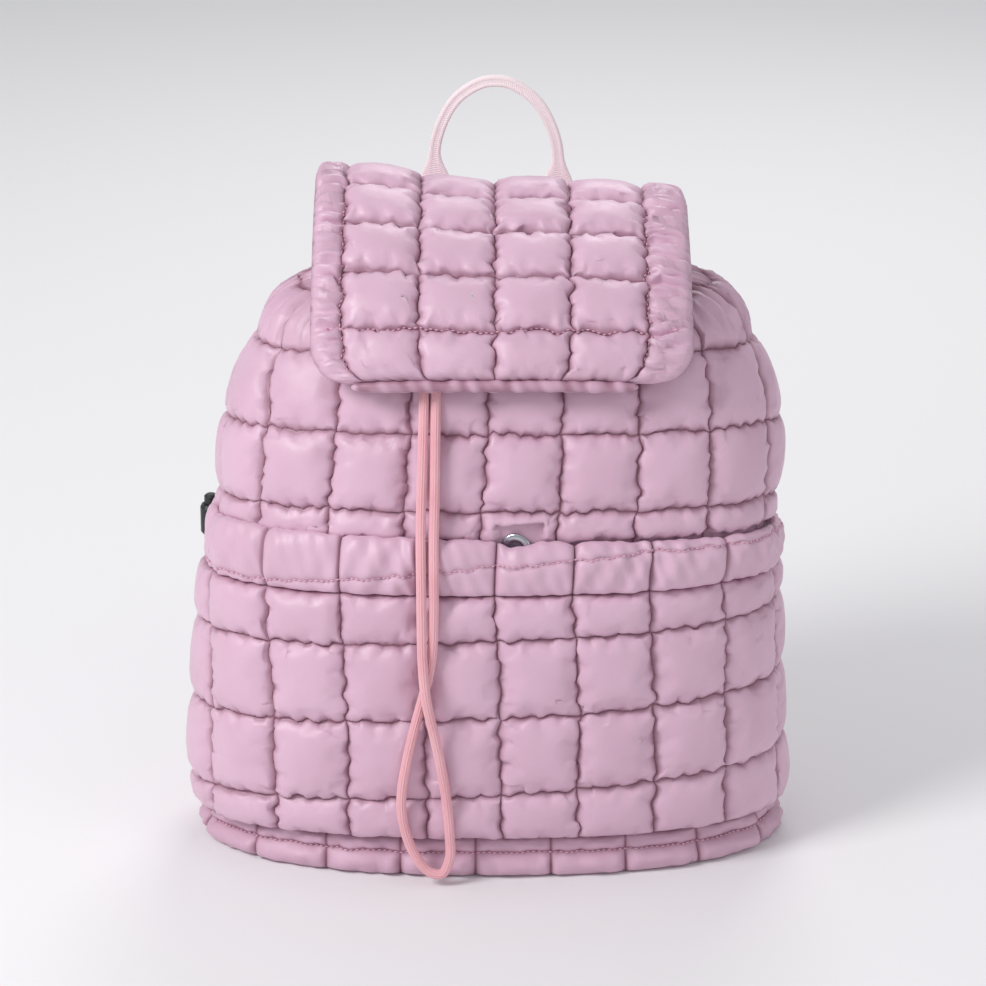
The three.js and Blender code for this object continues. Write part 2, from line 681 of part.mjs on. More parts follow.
// The lock's place past the band's end
function lockFrame({ sign }) {
  const end = sign < 0 ? pocketLeft : pocketRight;
  const pitch = (onBand(end, 0.5, 0).distanceTo(onBand(end - 0.5, 0.5, 0))) * 2;
  const station = { row: bandSeam, next: bandMouth, share: 0.5 };
  const up = pocketUp(station, end);
  const column = end + sign * lockDistance / pitch;
  const at = (past, out) => onBody(end + sign * past / pitch, up, out, bandSeam.shift * cell);
  const { place, outward } = bodyFrame(column, up, bandSeam.shift * cell);
  const away = at(lockDistance + 1, 0).sub(at(lockDistance - 1, 0)).setZ(0).normalize();
  outward.setZ(0).normalize();
  return { place: place.addScaledVector(outward, lockStandoff), away, outward, at };
}

function merged(geometry) {
  const bare = geometry.clone();
  bare.deleteAttribute('normal');
  bare.deleteAttribute('uv');
  return mergeVertices(bare, 1e-4);
}

function solidOf(geometry) {
  const { index, attributes } = merged(geometry);
  const mesh = new wasm.Mesh({
    numProp: 3,
    vertProperties: new Float32Array(attributes.position.array),
    triVerts: new Uint32Array(index.array),
  });
  return new wasm.Manifold(mesh);
}

function geometryOf(solid) {
  const { vertProperties, triVerts } = solid.getMesh();
  const geometry = new THREE.BufferGeometry();
  geometry.setAttribute('position', new THREE.BufferAttribute(vertProperties, 3));
  geometry.setIndex(new THREE.BufferAttribute(triVerts, 1));
  geometry.computeVertexNormals();
  return geometry;
}

// A lathed piece with its axis along Z
function turned(profile, count) {
  const geometry = new THREE.LatheGeometry(profile.map(([r, z]) => new THREE.Vector2(r, z)), count);
  return geometry.rotateX(Math.PI / 2);
}

// The barrel of a cord lock: a blind bore on top for the button, and a slot through it for the cord
const slotTall = sideCordSpread + sideCordDiameter + 2 * sideCordClear;
const slotWide = sideCordDiameter + 2 * sideCordClear;
function barrelGeometry() {
  const radius = lockDiameter / 2;
  const bore = buttonDiameter / 2 + buttonClear;
  const [foot, top] = [-lockHeight / 2, lockHeight / 2];
  const barrel = turned([
    [0, foot], [radius - 1.5, foot], [radius, foot + 2], [radius, top - 2], [radius - 1, top],
    [bore, top], [bore, top - lockBoreDepth], [0, top - lockBoreDepth],
  ], 16);
  const slot = new THREE.BoxGeometry(slotWide, lockDiameter * 2, slotTall);
  return geometryOf(solidOf(barrel).subtract(solidOf(slot)));
}

function addLock(side) {
  const { place, away, outward, at } = lockFrame(side);
  const turn = Math.atan2(-away.x, away.y);
  const barrel = addPiece(`cord_lock_barrel_${side.name}`, barrelGeometry(), blackPlastic);
  barrel.position.copy(place);
  barrel.rotation.z = turn;
  const radius = buttonDiameter / 2;
  const button = addPiece(`cord_lock_button_${side.name}`, turned([
    [0, 0], [radius, 0], [radius, buttonHeight - 1.2], [radius - 1.2, buttonHeight], [0, buttonHeight],
  ], 16), blackPlastic);
  button.position.copy(place);
  button.position.z += lockHeight / 2 - buttonSunk;
  const exit = at(seamGap * 4, bandClear + bandThick / 2);
  const half = sideCordSpread / 2;
  const strand = ({ past, off }, high) => place.clone().addScaledVector(away, past)
    .addScaledVector(outward, off).setZ(place.z + high);
  const line = [
    { past: -lockDiameter / 2 - sideCordClear, off: 0, spread: 0 }, { past: 0, off: 0, spread: 0 },
    ...sideLoop,
  ];
  const upper = [exit.clone().setZ(place.z + half), ...line.map((step) => strand(step, half + step.spread))];
  const lower = [exit.clone().setZ(place.z - half), ...line.map((step) => strand(step, -half - step.spread))];
  addPiece(`side_cord_${side.name}`, cordGeometry(
    [...upper, strand(sideLoopTip, 0), ...lower.reverse()], sideCordDiameter, 22), coral);
}
sides.forEach(addLock);

// Points of a strap line on one side of the back
function backLine(line, sign) {
  return line.map(({ column, up, off }) => onBody(
    sign * (columns / 2 - column) - columnShift / cell, up, off));
}

// A strap of one thickness along a line, its face turned to the back panel
function strapGeometry(points, width, thick, steps, outline) {
  const curve = new THREE.CatmullRomCurve3(points);
  const rings = [];
  for (let i = 0; i <= steps; i++) {
    const place = curve.getPointAt(i / steps);
    const along = curve.getTangentAt(i / steps);
    const wide = along.clone().cross(new THREE.Vector3(0, 1, 0)).normalize();
    const face = wide.clone().cross(along).normalize();
    rings.push(outline.map(([across, out]) => place.clone()
      .addScaledVector(wide, across * width / 2).addScaledVector(face, out * thick / 2)));
  }
  return skin(rings, closing(outline.map(([across, out]) => new THREE.Vector2(across, out))));
}
const padOutline = [[-1, 0], [-0.9, 0.7], [-0.4, 1], [0.4, 1], [0.9, 0.7], [1, 0], [0.9, -0.8], [-0.9, -0.8]];
const tapeOutline = [[-1, -1], [-1, 1], [1, 1], [1, -1]];

// The slider between strap and webbing: a flat frame with two slots
function sliderGeometry() {
  const [w, h] = [sliderWidth / 2, sliderHeight / 2];
  const box = (Path, x, low, high) => {
    const path = new Path();
    path.moveTo(-x, low);
    path.lineTo(x, low);
    path.lineTo(x, high);
    path.lineTo(-x, high);
    path.closePath();
    return path;
  };
  const outline = box(THREE.Shape, w, -h, h);
  const bar = h - sliderSlot - 3;
  outline.holes.push(box(THREE.Path, webbingWidth / 2 + 1, bar, bar + sliderSlot));
  outline.holes.push(box(THREE.Path, webbingWidth / 2 + 1, -bar - sliderSlot, -bar));
  const geometry = new THREE.ExtrudeGeometry(outline, { depth: sliderThick, bevelEnabled: false });
  return geometry.translate(0, 0, -sliderThick / 2);
}

function addStrap({ name, sign }) {
  const pad = backLine(strapLine, sign);
  pad[0].z = flapLine[0].up * bodyHeight - strapClear * 2;
  pad[0].x = pad[1].x;
  addPiece(`shoulder_strap_${name}`, strapGeometry(pad, strapWidth, strapThick, 14, padOutline),
    satinShade);
  const along = pad.at(-1).clone().sub(pad.at(-2)).normalize();
  const wide = along.clone().cross(new THREE.Vector3(0, 1, 0)).normalize();
  const face = wide.clone().cross(along);
  const slider = addPiece(`strap_slider_${name}`, sliderGeometry(), blackPlastic);
  slider.quaternion.setFromRotationMatrix(new THREE.Matrix4().makeBasis(wide, along, face));
  slider.position.copy(pad.at(-1)).addScaledVector(along, strapClear + sliderHeight / 2);
  const start = slider.position.clone().addScaledVector(along, sliderHeight / 2 + strapClear * 2);
  addPiece(`strap_webbing_${name}`, strapGeometry([start, ...backLine(webbingLine, sign).slice(1)],
    webbingWidth, webbingThick, 8, tapeOutline), webbing);
}
sides.forEach(addStrap);

export default bag;
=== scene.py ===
import math

import bmesh
import bpy
import numpy as np
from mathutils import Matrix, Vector


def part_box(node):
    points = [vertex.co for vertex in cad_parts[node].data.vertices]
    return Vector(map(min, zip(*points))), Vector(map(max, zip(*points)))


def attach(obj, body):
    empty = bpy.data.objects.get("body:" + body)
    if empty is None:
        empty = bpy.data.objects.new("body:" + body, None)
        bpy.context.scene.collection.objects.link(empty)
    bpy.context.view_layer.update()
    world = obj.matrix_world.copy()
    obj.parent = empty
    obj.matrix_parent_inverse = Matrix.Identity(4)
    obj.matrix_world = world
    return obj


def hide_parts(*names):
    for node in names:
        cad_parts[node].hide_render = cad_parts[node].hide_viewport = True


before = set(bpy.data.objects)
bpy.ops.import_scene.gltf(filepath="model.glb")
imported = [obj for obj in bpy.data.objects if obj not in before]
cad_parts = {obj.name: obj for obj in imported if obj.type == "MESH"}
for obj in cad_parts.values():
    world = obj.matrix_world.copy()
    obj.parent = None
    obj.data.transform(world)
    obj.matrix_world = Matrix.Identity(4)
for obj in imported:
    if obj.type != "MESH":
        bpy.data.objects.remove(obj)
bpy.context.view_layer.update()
scene = bpy.context.scene

# Camera. A long lens in front of the bag and a little above it, which looks down at it,
# so that the front, the top of the flap and the floor before the base are seen.
camera = bpy.data.objects.new("camera", bpy.data.cameras.new("camera"))
camera.data.lens = 145
camera.data.sensor_width = 36
aim = Vector((0.002, 0.0, 0.207))
away = 2.32
look_down = math.radians(20)
camera.location = aim + away * Vector((0, -math.cos(look_down), math.sin(look_down)))
camera.rotation_euler = (aim - camera.location).to_track_quat("-Z", "Y").to_euler()
camera.data.clip_start, camera.data.clip_end = 0.1, 50
scene.collection.objects.link(camera)
scene.camera = camera


# Drawcord. A soft braided polyester cord of one length, which gathers the mouth. It comes out
# of one ring, crosses itself on the front pocket, turns above the floor and goes back into the other.
def catmull(points, spacing):
    """Points at equal spacing along a smooth line through the given points, and its directions."""
    points = np.asarray(points, float)
    ends = np.vstack([2 * points[0] - points[1], points, 2 * points[-1] - points[-2]])
    fine = []
    share = np.linspace(0, 1, 24, endpoint=False)[:, None]
    for before, here, there, after in zip(ends, ends[1:], ends[2:], ends[3:]):
        gaps = [max(np.linalg.norm(b - a), 1e-9) ** 0.5
                for a, b in ((before, here), (here, there), (there, after))]
        leave = ((here - before) / gaps[0] - (there - before) / (gaps[0] + gaps[1])
                 + (there - here) / gaps[1]) * gaps[1]
        arrive = ((there - here) / gaps[1] - (after - here) / (gaps[1] + gaps[2])
                  + (after - there) / gaps[2]) * gaps[1]
        fine.append(here + leave * share + (3 * (there - here) - 2 * leave - arrive) * share ** 2
                    + (2 * (here - there) + leave + arrive) * share ** 3)
    fine = np.vstack(fine + [points[-1:]])
    run = np.concatenate([[0], np.cumsum(np.linalg.norm(np.diff(fine, axis=0), axis=1))])
    stops = np.linspace(0, run[-1], max(int(round(run[-1] / spacing)), 2) + 1)
    line = np.stack([np.interp(stops, run, fine[:, k]) for k in range(3)], 1)
    ways = np.gradient(line, axis=0)
    return line, ways / np.linalg.norm(ways, axis=1)[:, None]


def new_piece(name, points, faces, uv=None, painted_shade=None, smooth=True):
    """A mesh object of the given points and faces, with its own UV map and its share of painted shade, which
    darkens its seams and creases.
    """
    mesh = bpy.data.meshes.new(name)
    mesh.from_pydata(np.asarray(points, float).tolist(), [], faces)
    mesh.polygons.foreach_set("use_smooth", np.full(len(mesh.polygons), smooth))
    loops = np.zeros(len(mesh.loops), np.int32)
    mesh.loops.foreach_get("vertex_index", loops)
    if uv is not None:
        layer = mesh.uv_layers.new(name="cloth")
        layer.data.foreach_set("uv", np.asarray(uv, float).reshape(-1, 2)[loops].ravel())
    if painted_shade is not None:
        mesh.attributes.new("painted_shade", "FLOAT", "POINT").data.foreach_set(
            "value", np.asarray(painted_shade, float).ravel())
    mesh.update()
    piece = bpy.data.objects.new(name, mesh)
    scene.collection.objects.link(piece)
    return piece


def grid_faces(rows, across, close_rows=False, close_across=False):
    """Quads of a grid of points, closed round either way."""
    down = np.arange(rows if close_rows else rows - 1)
    side = np.arange(across if close_across else across - 1)
    i, j = np.meshgrid(down, side, indexing="ij")
    i, j, below, next_ = i.ravel(), j.ravel(), (i.ravel() + 1) % rows, (j.ravel() + 1) % across
    return np.stack([i * across + j, i * across + next_, below * across + next_, below * across + j], 1)


def mend(piece, join=0.0):
    """Joins points that are nearer than join, and turns the faces outward."""
    work = bmesh.new()
    work.from_mesh(piece.data)
    if join:
        bmesh.ops.remove_doubles(work, verts=work.verts, dist=join)
    bmesh.ops.recalc_face_normals(work, faces=work.faces)
    work.to_mesh(piece.data)
    work.free()


def cord_tube(name, line, ways, diameter, ribs, sides):
    """A round cord along a line, ribbed lengthwise, with closed ends."""
    rib_depth = 0.080
    side = np.cross(ways[0], (0.3, 1.0, 0.2))
    rings, uv = [], []
    run = 0.0
    turn = np.linspace(0, 2 * np.pi, sides + 1)
    radius = diameter / 2 * (1 - rib_depth * (1 - np.cos(ribs * turn)))
    for k, (place, way) in enumerate(zip(line, ways)):
        side = side - way * (side @ way)
        side /= np.linalg.norm(side)
        up = np.cross(way, side)
        run += np.linalg.norm(line[k] - line[k - 1]) if k else 0.0
        rings.append(place + np.outer(radius * np.cos(turn), side) + np.outer(radius * np.sin(turn), up))
        uv.append(np.stack([turn / (2 * np.pi), np.full(sides + 1, run)], 1))
    last = (len(line) - 1) * (sides + 1)
    faces = grid_faces(len(line), sides + 1).tolist()
    faces += [list(range(sides)), list(range(last, last + sides))[::-1]]
    piece = new_piece(name, np.concatenate(rings), faces, np.array(uv))
    mend(piece, join=1e-5)
    return piece


def new_material(name, roughness, **settings):
    """A node material: its tree, its shader, and the values that are the same all over it."""
    material = bpy.data.materials.new(name)
    material.use_nodes = True
    tree = material.node_tree
    shader = tree.nodes["Principled BSDF"]
    shader.inputs["Roughness"].default_value = roughness
    for socket, value in settings.items():
        shader.inputs[socket.replace("_", " ")].default_value = value
    return material, tree, shader


def add(tree, kind, inputs=(), **settings):
    """A node with its settings, and with each input a value or another node's output."""
    node = tree.nodes.new(kind)
    for key, value in settings.items():
        setattr(node, key, value)
    for key, value in dict(inputs).items():
        if isinstance(value, bpy.types.NodeSocket):
            tree.links.new(value, node.inputs[key])
        else:
            node.inputs[key].default_value = value
    return node


def maths(tree, operation, *values):
    return add(tree, "ShaderNodeMath", dict(enumerate(values)), operation=operation).outputs[0]


def blend_colours(tree, share, first, second):
    return add(tree, "ShaderNodeMix", {0: share, 6: first, 7: second}, data_type="RGBA").outputs[2]


def noise(tree, scale, detail=2.0, **settings):
    """Noise that is fixed to the object."""
    where = add(tree, "ShaderNodeTexCoord").outputs["Object"]
    return add(tree, "ShaderNodeTexNoise", {
        "Vector": where, "Scale": scale, "Detail": detail, **settings}).outputs[0]


def cloth_places(tree):
    """The two coordinates of the piece's own UV map, in metres."""
    at = add(tree, "ShaderNodeSeparateXYZ", {0: add(tree, "ShaderNodeUVMap", uv_map="cloth").outputs[0]})
    return at.outputs[0], at.outputs[1]


def bump(tree, height, strength, distance, **below):
    return add(tree, "ShaderNodeBump", {
        "Height": height, "Strength": strength, "Distance": distance, **below}).outputs[0]


def between(tree, value, low, high, first, last):
    """A value's range from low to high, stretched to run from first to last."""
    return add(tree, "ShaderNodeMapRange", {
        "Value": value, "From Min": low, "From Max": high, "To Min": first, "To Max": last}).outputs[0]


def colour(red, green, blue):
    """A linear colour from the 0 to 255 values of a screen."""
    return tuple((v / 255 / 12.92 if v <= 10 else ((v / 255 + 0.055) / 1.055) ** 2.4)
                 for v in (red, green, blue)) + (1.0,)


def braided(name, light, dark, strands, pitch):
    """Braid: strands cross each other in two slants round the cord. Its colour is painted shade in the gaps
    between the strands and a painted highlight on their raised crowns.
    """
    material, tree, shader = new_material(name, 0.72, Sheen_Weight=0.35, Sheen_Roughness=0.5)
    at_round, at_run = cloth_places(tree)
    round_ = maths(tree, "MULTIPLY", at_round, strands * math.pi)
    along = maths(tree, "MULTIPLY", at_run, math.pi / pitch)
    right = maths(tree, "ABSOLUTE", maths(tree, "SINE", maths(tree, "ADD", round_, along)))
    left = maths(tree, "ABSOLUTE", maths(tree, "SINE", maths(tree, "SUBTRACT", round_, along)))
    raised = maths(tree, "MAXIMUM", right, left)
    # Painted shade in the gaps between the strands, painted highlight on their crowns
    share = maths(tree, "MULTIPLY", maths(tree, "ADD", raised, noise(tree, 40.0)), 0.55)
    tree.links.new(blend_colours(tree, share, dark, light), shader.inputs["Base Color"])
    height = maths(tree, "ADD", raised, maths(tree, "MULTIPLY", noise(tree, 900.0), 0.5))
    tree.links.new(bump(tree, height, 0.8, 0.00035), shader.inputs["Normal"])
    return material


mm = 0.001
cord_diameter = 0.0058
cord_route = np.array([
    [-14.3, -16.2, 339], [-15.8, -20.5, 340], [-18.2, -24.6, 339.2], [-21.5, -29, 336],
    [-26.5, -37.5, 328.3], [-31.5, -46.7, 319], [-35, -53.6, 310], [-36.5, -58.9, 300],
    [-36.8, -61.6, 292], [-37, -66.5, 280], [-37.5, -75.5, 258], [-38.3, -80, 235],
    [-38.8, -85, 212], [-38.6, -92, 190], [-38.4, -94.5, 165], [-37.9, -98.5, 140],
    [-36, -101.8, 119], [-31.5, -100.5, 96], [-27.8, -99, 76], [-24.8, -98, 55], [-23, -97.5, 33],
    [-23, -97.5, 18], [-27.5, -97.5, 8.2], [-35, -97.5, 9.5], [-43.5, -97.5, 21], [-49.5, -97.5, 40],
    [-50.6, -97.5, 56], [-47.5, -96.5, 78], [-42.5, -95.5, 100], [-37.5, -94.5, 119],
    [-33, -94.5, 140], [-31.6, -93.5, 165], [-31.4, -92, 190], [-31.4, -85, 212], [-30.8, -80, 235],
    [-30.5, -75.5, 258], [-30.2, -66.5, 280], [-29.9, -61.6, 292], [-28.3, -58.9, 300],
    [-22.5, -53.8, 310], [-14, -47, 319.5], [-4, -38, 328.5], [4.5, -30, 335.8], [9.8, -25.2, 339.2],
    [12.6, -21.1, 340], [13.9, -16.8, 339]]) * mm
# The light and dark colours are the braid's painted highlight and painted shade
coral_braid = braided("coral_braid", colour(255, 200, 208), colour(222, 130, 144), 28, 0.0018)
cord_line, cord_ways = catmull(cord_route, 0.0016)
drawcord = cord_tube("drawcord_braid", cord_line, cord_ways, cord_diameter, 12, 60)
drawcord.data.materials.append(coral_braid)
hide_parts("drawcord")
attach(drawcord, "root")

# Side cords. Thin elastic cord loops that come out of the pocket band's two ends,
# pass through a spring lock and hang past it in a short loop.
side_cord_diameter = 0.0028
side_cord_routes = {
    "left": [[-163.93, 18.24, 182.83], [-166.14, 21.2, 182.83], [-164.96, 28.1, 182.83],
             [-163.7, 35.5, 182.83], [-163.9, 39.09, 184.43], [-164.23, 44.23, 185.03],
             [-164.35, 48.32, 180.83], [-164.23, 44.23, 176.63], [-163.9, 39.09, 177.23],
             [-163.7, 35.5, 178.83], [-164.96, 28.1, 178.83], [-166.14, 21.2, 178.83],
             [-163.93, 18.24, 178.83]],
    "right": [[165.45, 32.6, 178.39], [167.03, 36.53, 178.39], [164.21, 42.93, 178.39],
              [161.19, 49.8, 178.39], [160.52, 53.32, 179.99], [159.61, 58.37, 180.59],
              [158.73, 62.34, 176.39], [159.61, 58.37, 172.19], [160.52, 53.32, 172.79],
              [161.19, 49.8, 174.39], [164.21, 42.93, 174.39], [167.03, 36.53, 174.39],
              [165.45, 32.6, 174.39]],
}
# The light and dark colours are the elastic's painted highlight and painted shade
coral_elastic = braided("coral_elastic", colour(240, 150, 140), colour(200, 100, 95), 12, 0.0014)
for side, route in side_cord_routes.items():
    line, ways = catmull(np.array(route) * mm, 0.0009)
    loop = cord_tube(f"side_cord_elastic_{side}", line, ways, side_cord_diameter, 6, 20)
    loop.data.materials.append(coral_elastic)
    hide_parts(f"side_cord_{side}")
    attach(loop, "root")

# Bag body. The wall is two layers of satin nylon over down-like wadding, quilted into puffed
# squares and gathered at the neck. Each square is blown up by a cloth simulation between its seams.
body_width, body_depth, body_height = 0.336, 0.170, 0.342
lean_right = 0.009
front_round, back_round = 2.4, 3.0
wall = 0.008
columns = 20
cell = 0.0435
column_shift = -0.009
# From the base seam to the rim: up, wide, front, back, lift, pitch, swell, lean
sections = np.array([
    [0.073, 0.986, 0.470, 0.475, 0.017, 1.00, 0.6, 0.10],
    [0.132, 0.995, 0.482, 0.485, 0.020, 1.00, 1.0, -0.15],
    [0.260, 0.980, 0.476, 0.485, 0.020, 1.00, 1.0, -0.20],
    [0.389, 0.965, 0.465, 0.485, 0.022, 1.00, 1.0, -0.10],
    [0.518, 0.947, 0.447, 0.485, 0.023, 1.00, 1.0, 0.08],
    [0.646, 0.946, 0.418, 0.480, 0.033, 1.01, 1.0, 0.52],
    [0.774, 0.940, 0.365, 0.474, 0.033, 0.99, 1.0, 0.82],
    [0.893, 0.842, 0.276, 0.464, 0.022, 0.95, 0.8, 0.92],
    [0.965, 0.702, 0.153, 0.445, 0.006, 0.78, 0.3, 0.97],
    [1.000, 0.381, 0.012, 0.370, 0.000, 0.36, 0.0, 1.00]])
seam_ups = sections[:, 0]


def follow(column, up):
    """A column of the section table at any height, on a smooth curve."""
    values, last = sections[:, column], len(sections) - 1
    i = np.clip(np.searchsorted(seam_ups, up) - 1, 0, last - 1)

    def slope(k):
        below, above = np.maximum(k - 1, 0), np.minimum(k + 1, last)
        return (values[above] - values[below]) / (seam_ups[above] - seam_ups[below])

    span = seam_ups[i + 1] - seam_ups[i]
    t = (up - seam_ups[i]) / span
    return ((2 * t ** 3 - 3 * t ** 2 + 1) * values[i] + (t ** 3 - 2 * t ** 2 + t) * span * slope(i)
            + (3 * t ** 2 - 2 * t ** 3) * values[i + 1] + (t ** 3 - t ** 2) * span * slope(i + 1))


def body_point(angle, up):
    """A point of the body's smooth form: angle 0 is the middle of the front."""
    half = follow(1, up) * body_width / 2
    front, back = -follow(2, up) * body_depth, follow(3, up) * body_depth
    deep, middle = (back - front) / 2, (back + front) / 2
    across, ahead = np.sin(angle), np.cos(angle)
    rounding = np.where(ahead > 0, front_round, back_round)
    reach = (np.abs(across / half) ** rounding + np.abs(ahead / deep) ** rounding) ** (-1 / rounding)
    rear = -reach * ahead
    height = up - follow(4, up) * (1 + rear / deep)
    return np.stack([reach * across + lean_right * follow(7, up), middle + rear, body_height * height], -1)


levels = np.linspace(0.05, 1.0, 96)
turns = np.linspace(-1.3 * np.pi, 1.3 * np.pi, 521)
arcs = []
for level in levels:
    outline = body_point(turns, np.full_like(turns, level))
    run = np.concatenate([[0], np.cumsum(np.linalg.norm(np.diff(outline, axis=0), axis=1))])
    arcs.append(run - np.interp(0, turns, run))
arcs = np.array(arcs)
rounds = np.array([np.interp(np.pi, turns, arc) - np.interp(-np.pi, turns, arc) for arc in arcs])


def column_angle(column, up, shift):
    """The angle of a quilt column at a height. Eight columns at the front keep the cell's width."""
    spot = (up - levels[0]) / (levels[1] - levels[0])
    below = np.clip(np.floor(spot).astype(int), 0, len(levels) - 2)
    share = spot - below
    beyond = np.maximum(np.abs(column) - 4, 0) * np.sign(column)
    angle = np.zeros(column.shape)
    for k in np.unique(below):
        here = below == k
        for level, weight in ((k, 1 - share[here]), (k + 1, share[here])):
            front = cell * follow(5, levels[level])
            rest = (rounds[level] - 8 * front) / (columns - 8)
            arc = shift[here] + (column[here] - beyond[here]) * front + beyond[here] * rest
            angle[here] += weight * np.interp(arc, arcs[level], turns)
    return angle


def on_body(column, up, out, shift=column_shift):
    """Points that stand off the body at a column and a height."""
    column, up, out, shift = np.broadcast_arrays(
        *[np.asarray(v, float) for v in (column, up, out, shift)])
    angle = column_angle(column, up, shift)
    step = 0.002
    along = body_point(angle + step, up) - body_point(angle - step, up)
    rise = body_point(angle, up + step) - body_point(angle, up - step)
    outward = np.cross(along, rise)
    outward /= np.linalg.norm(outward, axis=-1)[..., None]
    return body_point(angle, up) + outward * out[..., None]


def bulge(share):
    return np.sqrt(np.clip(4 * share * (1 - share), 0, None))


def crinkle(across, along, size, seed, waves=7):
    """Smooth noise from -1 to 1 with features of about the given size."""
    dice = np.random.default_rng(seed)
    total = np.zeros(np.broadcast(across, along).shape)
    for _ in range(waves):
        way, phase = dice.uniform(0, 2 * np.pi, 2)
        pitch = 2 * np.pi / (size * dice.uniform(0.75, 1.6))
        total = total + np.sin(pitch * (np.cos(way) * across + np.sin(way) * along) + phase)
    return total / waves ** 0.5 / 1.3


def stations(seams, spacing, lengths, dense=0.5):
    """Values from seam to seam at about the given spacing, closer together by the seams, and the
    place of each seam in the list."""
    values, places = [], [0]
    for first, last, length in zip(seams, seams[1:], lengths):
        steps = max(int(round(length / spacing)), 2)
        share = np.arange(steps) / steps
        share -= dense * np.sin(2 * np.pi * share) / (2 * np.pi)
        values += list(first + (last - first) * share)
        places.append(len(values))
    return np.array(values + [seams[-1]]), np.array(places)


def share_between(values, places):
    """For each station, its share of the way from one seam to the next, and the row it is in."""
    row = np.clip(np.searchsorted(places, np.arange(len(values)), side="right") - 1, 0, len(places) - 2)
    first, last = values[places[row]], values[places[row + 1]]
    return (values - first) / (last - first), row


def blow_up(name, points, pinned, close_across, pressure=130, spare=0.030, frames=13, most=0.008):
    """Lets a sheet of points swell as cloth, with spare length between its pinned seams. No point
    moves further than most."""
    faces = grid_faces(*points.shape[:2], close_across=close_across)
    start = points.reshape(-1, 3)
    mesh = bpy.data.meshes.new(name)
    mesh.from_pydata(start.tolist(), [], faces.tolist())
    sheet = bpy.data.objects.new(name, mesh)
    scene.collection.objects.link(sheet)
    seams = sheet.vertex_groups.new(name="seams")
    seams.add(np.flatnonzero(pinned.ravel()).tolist(), 1.0, "REPLACE")
    cloth = sheet.modifiers.new("cloth", "CLOTH")
    cloth.settings.quality = 4
    cloth.settings.mass = 0.1
    cloth.settings.tension_stiffness = cloth.settings.compression_stiffness = 15
    cloth.settings.shear_stiffness = 5
    cloth.settings.bending_stiffness = 0.05
    cloth.settings.tension_damping = cloth.settings.compression_damping = 5
    cloth.settings.shear_damping = 5
    cloth.settings.bending_damping = 0.5
    cloth.settings.vertex_group_mass = "seams"
    cloth.settings.pin_stiffness = 1
    cloth.settings.use_pressure = True
    cloth.settings.uniform_pressure_force = pressure
    cloth.settings.shrink_min = -spare
    cloth.settings.effector_weights.gravity = 0
    cloth.collision_settings.use_collision = False
    cloth.point_cache.frame_start, cloth.point_cache.frame_end = 1, frames
    for step in range(1, frames + 1):
        scene.frame_set(step)
    settled = sheet.evaluated_get(bpy.context.evaluated_depsgraph_get()).data
    final = np.zeros(len(start) * 3)
    settled.vertices.foreach_get("co", final)
    scene.frame_set(1)
    bpy.data.objects.remove(sheet)
    move = final.reshape(-1, 3) - start
    size = np.linalg.norm(move, axis=1)[:, None]
    move *= most * np.tanh(size / most) / np.maximum(size, 1e-9)
    return (start + move).reshape(points.shape)


def swollen(name, points, pinned, middle, close_across=False):
    """The blown up sheet. The cloth's pressure needs faces that look away from the middle."""
    pinned = np.broadcast_to(pinned, points.shape[:2])
    normal = np.cross(points[:-1, 1:] - points[:-1, :-1], points[1:, :-1] - points[:-1, :-1])
    if np.einsum("ijk,ijk->", normal, points[:-1, :-1] - middle) < 0:
        return blow_up(name, points[:, ::-1], pinned[:, ::-1], close_across)[:, ::-1]
    return blow_up(name, points, pinned, close_across)


def satin_nylon(name, light, dark):
    """Thin satin-woven nylon: a soft shine, a fine thread, small creases, painted shade toward the dark
    colour by the seams, and a slight random cloud of darker tone.
    """
    material, tree, shader = new_material(
        name, 0.42, Sheen_Weight=0.25, Sheen_Roughness=0.4, Specular_IOR_Level=0.55)
    shader.inputs["Sheen Tint"].default_value = (1.0, 0.85, 0.93, 1.0)
    # Painted shade: this attribute mixes the satin toward the dark colour in its seams and creases
    painted_shade = add(tree, "ShaderNodeAttribute", attribute_name="painted_shade").outputs["Fac"]
    cloud = between(tree, noise(tree, 22.0, 3.0), 0.35, 0.65, 0.0, 0.10)
    share = maths(tree, "MAXIMUM", maths(tree, "MULTIPLY", painted_shade, 0.9), cloud)
    tree.links.new(blend_colours(tree, share, light, dark), shader.inputs["Base Color"])
    creases = noise(tree, 95.0, 5.0, Roughness=0.55, Distortion=0.3)
    long_creases = noise(tree, 34.0, Distortion=0.5)
    thread = 0.00065
    warp, weft = (maths(tree, "SINE", maths(tree, "MULTIPLY", place, 2 * math.pi / thread))
                  for place in cloth_places(tree))
    weave = bump(tree, maths(tree, "MULTIPLY", warp, weft), 0.25, 0.00006)
    small = bump(tree, creases, 0.16, 0.0016, Normal=weave)
    tree.links.new(bump(tree, long_creases, 0.20, 0.004, Normal=small), shader.inputs["Normal"])
    tree.links.new(between(tree, creases, 0.3, 0.7, 0.36, 0.5), shader.inputs["Roughness"])
    return material


# The dark colour is painted shade for the seams and the hidden faces; the light colour is the satin's own
mauve_satin = satin_nylon("mauve_satin", colour(218, 180, 201), colour(124, 62, 84))

shell_lengths = np.diff(seam_ups) * body_height
shell_rows, shell_seams = stations(seam_ups, 0.0021, shell_lengths)
shell_columns, shell_seam_columns = stations(
    np.arange(-columns / 2, columns / 2 + 1), cell / 20, [cell] * columns)
row_share, row_number = share_between(shell_rows, shell_seams)
column_share, column_number = share_between(shell_columns, shell_seam_columns)
shell_columns, column_share, column_number = shell_columns[:-1], column_share[:-1], column_number[:-1]
across, along = shell_columns[None, :] * cell, shell_rows[:, None] * body_height
fullness = np.random.default_rng(3).uniform(0.75, 1.15, (len(seam_ups), columns))
swell = np.interp(row_number, np.arange(len(sections)), sections[:, 6])[:, None]
share_up, share_side = row_share[:, None], column_share[None, :]
